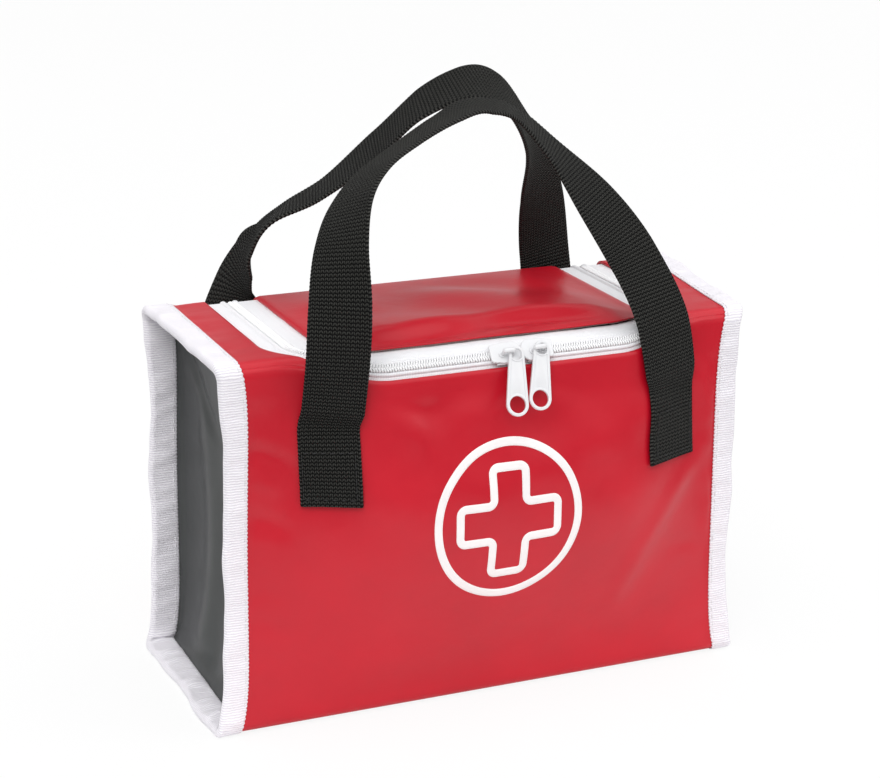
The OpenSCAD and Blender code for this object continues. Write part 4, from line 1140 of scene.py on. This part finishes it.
# a thin tongue with raised rims round its outline, its hole and its eye; it is turned in its own plane by
# swing, moved up by ride, laid down by the fall angle and hung on the bail, off to the side of it
def buildPull(x, off, ride, swing, name, body, node):
    g, drop = pullForm, holeDrop
    eye, hole = g["eye"] / 2, g["hole"] / 2
    shapes = [flatShape([pullLine(0.25), circleLine(0, 0, eye + 0.2, 32), circleLine(0, -drop, hole + 0.2, 40)],
                        g["tongue"], 0.16),
              flatShape([pullLine(0.2), pullLine(0.85)], g["rim"], 0.2),
              flatShape([circleLine(0, -drop, hole + 0.75, 44), circleLine(0, -drop, hole + 0.15, 44)],
                        g["rim"], 0.18),
              flatShape([circleLine(0, 0, g["neck"] / 2 - 0.2, 36), circleLine(0, 0, eye + 0.15, 36)],
                        g["rim"], 0.18)]
    (c, s), (cs, sn) = ((math.cos(a), math.sin(a)) for a in (math.radians(g["fall"]), math.radians(swing)))

    def hang(p):
        px, py = cs * p[:, 0] - sn * p[:, 1], sn * p[:, 0] + cs * p[:, 1] + ride
        turned = np.stack([px, c * py - s * p[:, 2] + sliderForm["ringY"],
                           s * py + c * p[:, 2] + sliderForm["ringN"]], -1)
        return onRun(turned, x + sliderForm["postX"] + off)

    place(addShapes(name, shapes, hang, enamel, 0.7), body, "white_paint", node)


buildSlider(sliderForm["leftX"], 1, "leftSliderCasting", "left_slider_body", "left_slider")
buildSlider(sliderForm["rightX"], -1, "rightSliderCasting", "right_slider_body", "right_slider")
buildPull(sliderForm["leftX"], 1.1, 0.0, -8.5, "leftPullTag", "left_pull_body", "left_pull")
buildPull(sliderForm["rightX"], -1.0, 1.0, -11.5, "rightPullTag", "right_pull_body", "right_pull")
print("sliders and pulls done")

# printed sign: a ring and the outline of a cross, as a thin film

signForm = {"x": 0, "z": 78, "radius": 31, "line": 3.2, "crossHalf": 20.5, "armHalf": 6.8,
            "cornerRadius": 2.4, "film": 0.16, "wide": 0.965, "tall": 1.03}


# the cross's outline, grown by a width: a quarter with one round at the crotch and two at the arm's end,
# turned four times, with each side cut into six
def crossLine(grow):
    g = signForm
    half, arm = g["crossHalf"] + grow, g["armHalf"] + grow
    out, inn = g["cornerRadius"] + grow, max(0.3, g["cornerRadius"] - grow)
    a = np.linspace(0, pi / 2, 9)
    first = np.stack([half - out + out * np.sin(a), -arm + out - out * np.cos(a)], -1)
    second = np.stack([half - out + out * np.cos(a), arm - out + out * np.sin(a)], -1)
    third = np.stack([arm + inn - inn * np.sin(a), arm + inn - inn * np.cos(a)], -1)
    quarter = np.vstack([first, second, third])
    turns = [quarter @ np.array([[math.cos(k * pi / 2), math.sin(k * pi / 2)],
                                 [-math.sin(k * pi / 2), math.cos(k * pi / 2)]]) for k in range(4)]
    line = np.vstack(turns)
    closed = np.vstack([line, line[:1]])
    cells = np.linspace(0, 1, 7)[:-1]
    return (closed[:-1, None] + (closed[1:] - closed[:-1])[:, None] * cells[None, :, None]).reshape(-1, 2)


# a band of film between two outlines: six lines across it that drop a little at both edges, and its underside
def filmBand(outer, inner):
    g = signForm

    def lay(line, n):
        x, z = g["x"] + line[:, 0] * g["wide"], g["z"] + line[:, 1] * g["tall"]
        return lifted(x, frontS(x, z), n)

    low, high = -0.1, g["film"]
    cells = [mix(outer, inner, k) for k in (0.0, 0.03, 0.35, 0.65, 0.97, 1.0)]
    heights = [high * 0.4, high, high, high, high, high * 0.4]
    rows = [lay(c, h) for c, h in zip(cells, heights)] + [lay(inner, low), lay(outer, low)]
    return gridPart(np.stack(rows, 1), closeRows=True, closeCols=True, flip=True)


def buildSign():
    g = signForm
    sign = makePiece("printedSign", [
        filmBand(circleLine(0, 0, g["radius"], 200), circleLine(0, 0, g["radius"] - g["line"], 200)),
        filmBand(crossLine(g["line"] / 2), crossLine(-g["line"] / 2))], [signFilm])
    faceOutwards(sign)
    place(sign, "case_body", "white_print", "front_emblem")


buildSign()
print("sign done")

# handles: each is one strap, sewn on at both ends

strapForm = {"width": 23.0, "thickness": 1.6, "tabLow": 90, "crease": 120, "freeFrom": 127.0, "sewn": 0.4,
             "step": 0.36, "frontX": 3.0, "frontOut": 9.6, "rearX": 0, "rearOut": 4.5,
             "frontTaper": (0.955, 1.06), "rearTaper": (1.0, 1.0), "columns": 21, "ribHeight": 0.11,
             "scallop": 1.44, "scallopDepth": 0.2, "stitchInset": 2.6, "stitchTop": 20.0, "stitchPitch": 2.8}
# rows along each handle: x, y and z from its sewn line at the crease, then two turns of its width in degrees:
# about the vertical from the x axis, and up out of the level
frontDrape = [
    (-69, 0, 0.3, 21, 0), (-68, -5, 25, 16, 0), (-66.5, -4, 45, 30, -6), (-63.7, 2, 64, 50, -16),
    (-57, 11, 77.5, 62, -24), (-45.5, 20, 87, 73, -20), (-29, 28, 94.3, 88, -12), (-11, 34, 101.2, 98, -4),
    (4, 38, 104.5, 105, 2), (19, 38, 101, 114, 0), (32.5, 33, 87.5, 131, -8), (45, 24, 70.5, 155, -12),
    (57, 14, 49.5, 167, -10), (64.3, 2, 27, 167, -4), (68.7, -0.3, 0.3, 163, 0)]
rearDrape = [
    (-70, 0, 0.3, 0, 0), (-69, 4, 8, 18, 0), (-66.8, 8, 16.5, 44, -2), (-64.5, 9, 25, 68, -3),
    (-62, 5, 34.5, 86, -3), (-60, -2, 44.3, 103, -2), (-53, -10, 56.2, 116, 3), (-36.3, -17, 66.3, 117, 13),
    (-17.5, -26, 83.4, 113, 25), (-2, -36, 100.8, 116, 27), (16, -41, 108.4, 113, 23), (31.5, -38, 102.8, 113, 17),
    (47, -27, 84, 121, 4), (59.3, -13, 59, 150, -6), (68.4, 1, 30, 172, -4), (71.2, 0, 0.3, 180, 0)]


# a cubic through all the rows, whose slope at each is half the step from the row before to the row after
def smoothLine(rows, cells):
    p = np.array(rows, float)
    last = len(p) - 1
    i = np.repeat(np.arange(last), cells)
    t = np.tile(np.arange(cells) / cells, last)[:, None]
    a, b, c, e = p[np.maximum(i - 1, 0)], p[i], p[i + 1], p[np.minimum(i + 2, last)]
    line = 0.5 * (2 * b + (c - a) * t + (2 * a - 5 * b + 4 * c - e) * t ** 2 + (3 * b - a - 3 * c + e) * t ** 3)
    return np.vstack([line, p[-1:]])


def resample(line, step):  # even steps along the line's length
    dist = np.concatenate([[0], np.cumsum(np.linalg.norm(np.diff(line[:, :3], axis=0), axis=1))])
    at = np.linspace(0, dist[-1], int(dist[-1] / step) + 1)
    return np.stack([np.interp(at, dist, line[:, k]) for k in range(line.shape[1])], -1)


# one strap: the free part is its line with the width laid across; each sewn end lies on the sheet, with its
# columns spaced by their distance over the curve, and turns into the free part between the crease and freeFrom
def buildStrap(drape, x, baseY, onFront, name, nodes):
    g = strapForm
    halfWidth, t = g["width"] / 2, g["thickness"]
    taper = g["frontTaper"] if onFront else g["rearTaper"]
    onSheet = frontS if onFront else backS
    mid = g["columns"] // 2
    rows = [(x + p[0], baseY + p[1], g["crease"] + p[2], p[3], p[4]) for p in drape]
    line = resample(smoothLine(rows, 24), g["step"])
    ahead = unit(np.gradient(line[:, :3], axis=0))
    a, b = np.radians(line[:, 3]), np.radians(line[:, 4])
    w = np.stack([np.cos(a), -np.sin(a) * np.cos(b), -np.sin(a) * np.sin(b)], -1)
    w = unit(w - (w * ahead).sum(-1, keepdims=True) * ahead)
    across = np.linspace(-1, 1, g["columns"]) * halfWidth
    wider = mix(taper[0], taper[1], smooth(line[:, 0], -60, 50))[:, None, None]
    free = line[:, None, :3] + w[:, None] * across[None, :, None] * wider
    ends = []
    for sign in (1, -1):
        first, centreZ = free[::sign], line[::sign, 2]
        stop = int(np.argmax(centreZ > g["freeFrom"]))
        zs = np.arange(g["tabLow"], g["freeFrom"], g["step"])
        wide = line[::sign][0, 0] + np.linspace(-1.2, 1.2, 97) * halfWidth
        over = lifted(wide, onSheet(wide, 105.0), g["sewn"] + t / 2)
        reach = np.concatenate([[0], np.cumsum(np.linalg.norm(np.diff(over, axis=0), axis=1))])
        reach = reach / (taper[0] if sign > 0 else taper[1])
        xs = np.interp(sign * across, reach - reach[48], wide)[None, :] + 0 * zs[:, None]
        sewn = lifted(xs, onSheet(xs, zs[:, None]), g["sewn"] + t / 2)
        # the free webbing at the same heights, straight on below its first row
        idx = np.interp(zs, centreZ[:stop + 1], np.arange(stop + 1))
        lo = np.clip(np.floor(idx).astype(int), 0, stop)
        hi = np.clip(lo + 1, 0, stop)
        fr = (idx - lo)[:, None, None]
        freeAt = first[lo] * (1 - fr) + first[hi] * fr
        freeAt[..., 2] += np.minimum(zs - centreZ[0], 0)[:, None]
        share = smooth(zs, g["crease"] - 3.0, g["freeFrom"] - 0.5)[:, None, None]
        ends.append((sewn * (1 - share) + freeAt * share, stop))
    (lowTab, lowStop), (highTab, highStop) = ends
    surface = np.concatenate([lowTab, free[lowStop:len(free) - highStop], highTab[::-1]], 0)
    normal = unit(np.cross(np.gradient(surface, axis=1), np.gradient(surface, axis=0)))
    dist = np.concatenate([[0], np.cumsum(np.linalg.norm(np.diff(surface[:, mid], axis=0), axis=1))])
    rib = normal * (t / 2 - 0.05 + g["ribHeight"] * np.sin(2 * pi * dist / g["scallop"])[:, None, None])
    middleLine, shrink = surface[:, mid:mid + 1], 1 - 0.35 / halfWidth   # room for the rounded edges
    top, low = (middleLine + (face - middleLine) * shrink for face in (surface + rib, surface - rib))
    edgeDir = unit(surface[:, -1] - surface[:, 0])
    bump = (0.12 + g["scallopDepth"] * np.abs(np.sin(pi * dist / g["scallop"])))[:, None]
    edges = []
    for column, s in ((-1, 1), (0, -1)):
        out = surface[:, column] + s * edgeDir * (0.25 * bump + 0.10)
        tip = surface[:, column] + s * edgeDir * (bump + 0.22)
        edges.append(np.stack([out + s * normal[:, column] * 0.55, tip, out - s * normal[:, column] * 0.55], 1))
    loop = np.concatenate([top, edges[0], low[:, ::-1], edges[1]], 1)
    v = np.concatenate([across, [halfWidth, halfWidth + 0.3, halfWidth], across[::-1],
                        [-halfWidth, -halfWidth - 0.3, -halfWidth], across[:1]])
    uv = np.stack(np.meshgrid(dist, v, indexing="ij"), -1)
    strap = makePiece(name, [gridPart(loop, closeCols=True, uv=uv, caps=True, flip=True)], [webbing])
    faceOutwards(strap)
    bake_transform(strap)
    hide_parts(*nodes)
    found = []                                       # stitches: a box on each sewn end
    inset, seamN = g["stitchInset"], g["sewn"] + t + 0.02
    half, zLow, zHigh = halfWidth - inset, g["tabLow"] + inset, g["tabLow"] + g["stitchTop"]
    box = [(-1, zLow, 1, zLow), (1, zLow, 1, zHigh), (1, zHigh, -1, zHigh), (-1, zHigh, -1, zLow)]
    for tab in (lowTab, highTab):
        for x0, z0, x1, z1 in box:
            count = int(math.hypot((x1 - x0) * half, z1 - z0) / g["stitchPitch"])
            u = (np.arange(count) + 0.5) / count
            px, pz = float(tab[0, mid, 0]) + mix(x0, x1, u) * half, mix(z0, z1, u)
            px2, pz2 = px + (x1 - x0) * 0.05, pz + (z1 - z0) * 0.01
            here = lifted(px, onSheet(px, pz), seamN)
            along = unit(lifted(px2, onSheet(px2, pz2), seamN) - here)
            up = unit(lifted(px, onSheet(px, pz), seamN + 1) - here)
            found.append(capsules(here, along, np.cross(along, up), up, 2.0, 0.24))
    place(makePiece(name + "Stitches", found, [blackThread]), "case_body", "black_webbing")


buildStrap(frontDrape, strapForm["frontX"], -halfD - strapForm["frontOut"], True, "frontStrap",
           ["front_handle", "front_handle_ends"])
buildStrap(rearDrape, strapForm["rearX"], halfD + strapForm["rearOut"], False, "rearStrap",
           ["rear_handle", "rear_handle_ends"])
print("straps done")

# floor, light and camera

# metres here; farFloor is the darker floor in front of the case as the case sees it, wall the same for the
# backdrop's brightness, floorGlow the share of plain white that the camera sees in place of the floor
studio = {"floorColor": (0.90, 0.90, 0.90, 1.0), "farFloor": (0.14, 0.14, 0.14, 1.0), "floorGlow": 0.9,
          "wall": 0.62, "horizon": 0.58, "zenith": 1.48, "half": 7.0, "front": -6.0, "bendAt": 2.2, "bend": 1.2,
          "wallTop": 6.0, "below": 0.0002,
          "lamps": [("keyPanel", (-0.9, -1.5, 1.9), 1.1, 20.0), ("fillPanel", (1.6, -0.9, 1.2), 1.2, 5.0)]}


# a floor that bends up into a backdrop; its colour falls off from 0.22 to 0.62 m from the case, in front only
def buildFloor():
    g = studio
    turn = np.linspace(0, pi / 2, 14)[1:]
    y = np.concatenate([np.linspace(g["front"], g["bendAt"], 8), g["bendAt"] + g["bend"] * np.sin(turn),
                        [g["bendAt"] + g["bend"]]])
    z = np.concatenate([np.zeros(8), g["bend"] * (1 - np.cos(turn)), [g["wallTop"]]])
    grid = np.stack([np.stack([np.full_like(y, x), y, z - g["below"]], -1) for x in (-g["half"], g["half"])], 1)
    floor = makePiece("studioFloor", [gridPart(grid * 1000)], [])
    material = bpy.data.materials.new("paleStudioFloor")
    material.use_nodes = True
    tree = material.node_tree
    tree.nodes.clear()
    path = put(tree, "ShaderNodeLightPath")
    where = put(tree, "ShaderNodeTexCoord").outputs["Object"]
    away = put(tree, "ShaderNodeVectorMath", {0: where}, operation="LENGTH").outputs["Value"]
    far = put(tree, "ShaderNodeMapRange", {"Value": away, "From Min": 0.22, "From Max": 0.62})
    split = put(tree, "ShaderNodeSeparateXYZ", {0: where})
    ahead = put(tree, "ShaderNodeMapRange", {"Value": split.outputs[1], "From Min": 0.5, "From Max": 0.1})
    notSeen = calc(tree, "SUBTRACT", 1.0, path.outputs["Is Camera Ray"])
    hidden = calc(tree, "MULTIPLY", calc(tree, "MULTIPLY", far.outputs[0], ahead.outputs[0]), notSeen)
    wall = put(tree, "ShaderNodeMapRange", {"Value": split.outputs[1], "From Min": 1.8, "From Max": 2.4})
    dim = calc(tree, "MULTIPLY", calc(tree, "MULTIPLY", wall.outputs[0], 1 - studio["wall"]), notSeen)
    shade = blendColor(tree, hidden, studio["floorColor"], studio["farFloor"])
    shade = blendColor(tree, dim, shade, (0.0, 0.0, 0.0, 1.0))
    plain = put(tree, "ShaderNodeBsdfDiffuse", {"Color": shade})
    grain = put(tree, "ShaderNodeTexNoise", {"Scale": 4.0})
    tint = blendColor(tree, grain.outputs["Fac"], (0.985, 0.985, 0.985, 1), (1, 1, 1, 1))
    glow = put(tree, "ShaderNodeEmission", {"Color": tint, "Strength": 1.0})
    seen = calc(tree, "MAXIMUM", path.outputs["Is Camera Ray"], path.outputs["Is Transmission Ray"])
    mixed = put(tree, "ShaderNodeMixShader", {0: calc(tree, "MULTIPLY", seen, studio["floorGlow"]),
                                              1: plain.outputs[0], 2: glow.outputs[0]})
    put(tree, "ShaderNodeOutputMaterial", {"Surface": mixed.outputs[0]})
    floor.data.materials.append(material)


# the world grows brighter from the horizon upwards and is plain white to the camera; two soft lamps join it
def buildLight():
    world = bpy.data.worlds.new("softStudio")
    world.use_nodes = True
    bpy.context.scene.world = world
    wt = world.node_tree
    wt.nodes.clear()
    lp = put(wt, "ShaderNodeLightPath")
    height = put(wt, "ShaderNodeSeparateXYZ", {0: put(wt, "ShaderNodeTexCoord").outputs["Generated"]}).outputs[2]
    level = put(wt, "ShaderNodeMapRange", {"Value": height, "From Min": 0.15, "From Max": 0.85,
                                           "To Min": studio["horizon"], "To Max": studio["zenith"]})
    strength = blendColor(wt, lp.outputs["Is Camera Ray"], level.outputs[0], (1, 1, 1, 1))
    sky = put(wt, "ShaderNodeBackground", {"Color": strength, "Strength": 1.0})
    put(wt, "ShaderNodeOutputWorld", {"Surface": sky.outputs[0]})
    for name, where, size, power in studio["lamps"]:
        light = bpy.data.lights.new(name, "AREA")
        light.shape, light.size, light.energy = "SQUARE", size, power
        lamp = bpy.data.objects.new(name, light)
        bpy.context.scene.collection.objects.link(lamp)
        lamp.location = where
        lamp.rotation_mode = "QUATERNION"
        lamp.rotation_quaternion = (Vector((0, 0, 0.08)) - Vector(where)).to_track_quat("-Z", "Y")


buildFloor()
buildLight()

cameraView = {"lookAt": (-1.2, -1.7, 110.9), "azimuth": -22.5, "elevation": 17.3, "distance": 862.7, "lens": 90}
azimuth, elevation = math.radians(cameraView["azimuth"]), math.radians(cameraView["elevation"])
level = math.cos(elevation)
backward = Vector((math.sin(azimuth) * level, -math.cos(azimuth) * level, math.sin(elevation)))
lens = bpy.data.cameras.new("photoCamera")
lens.lens, lens.sensor_width, lens.clip_start, lens.clip_end = cameraView["lens"], 36, 0.05, 50
camera = bpy.data.objects.new("photoCamera", lens)
bpy.context.scene.collection.objects.link(camera)
camera.rotation_mode = "QUATERNION"
camera.location = (Vector(cameraView["lookAt"]) + backward * cameraView["distance"]) / 1000
camera.rotation_quaternion = (-backward).to_track_quat("-Z", "Y")
bpy.context.scene.camera = camera
bpy.context.scene.view_settings.view_transform = "Standard"
print("studio done")
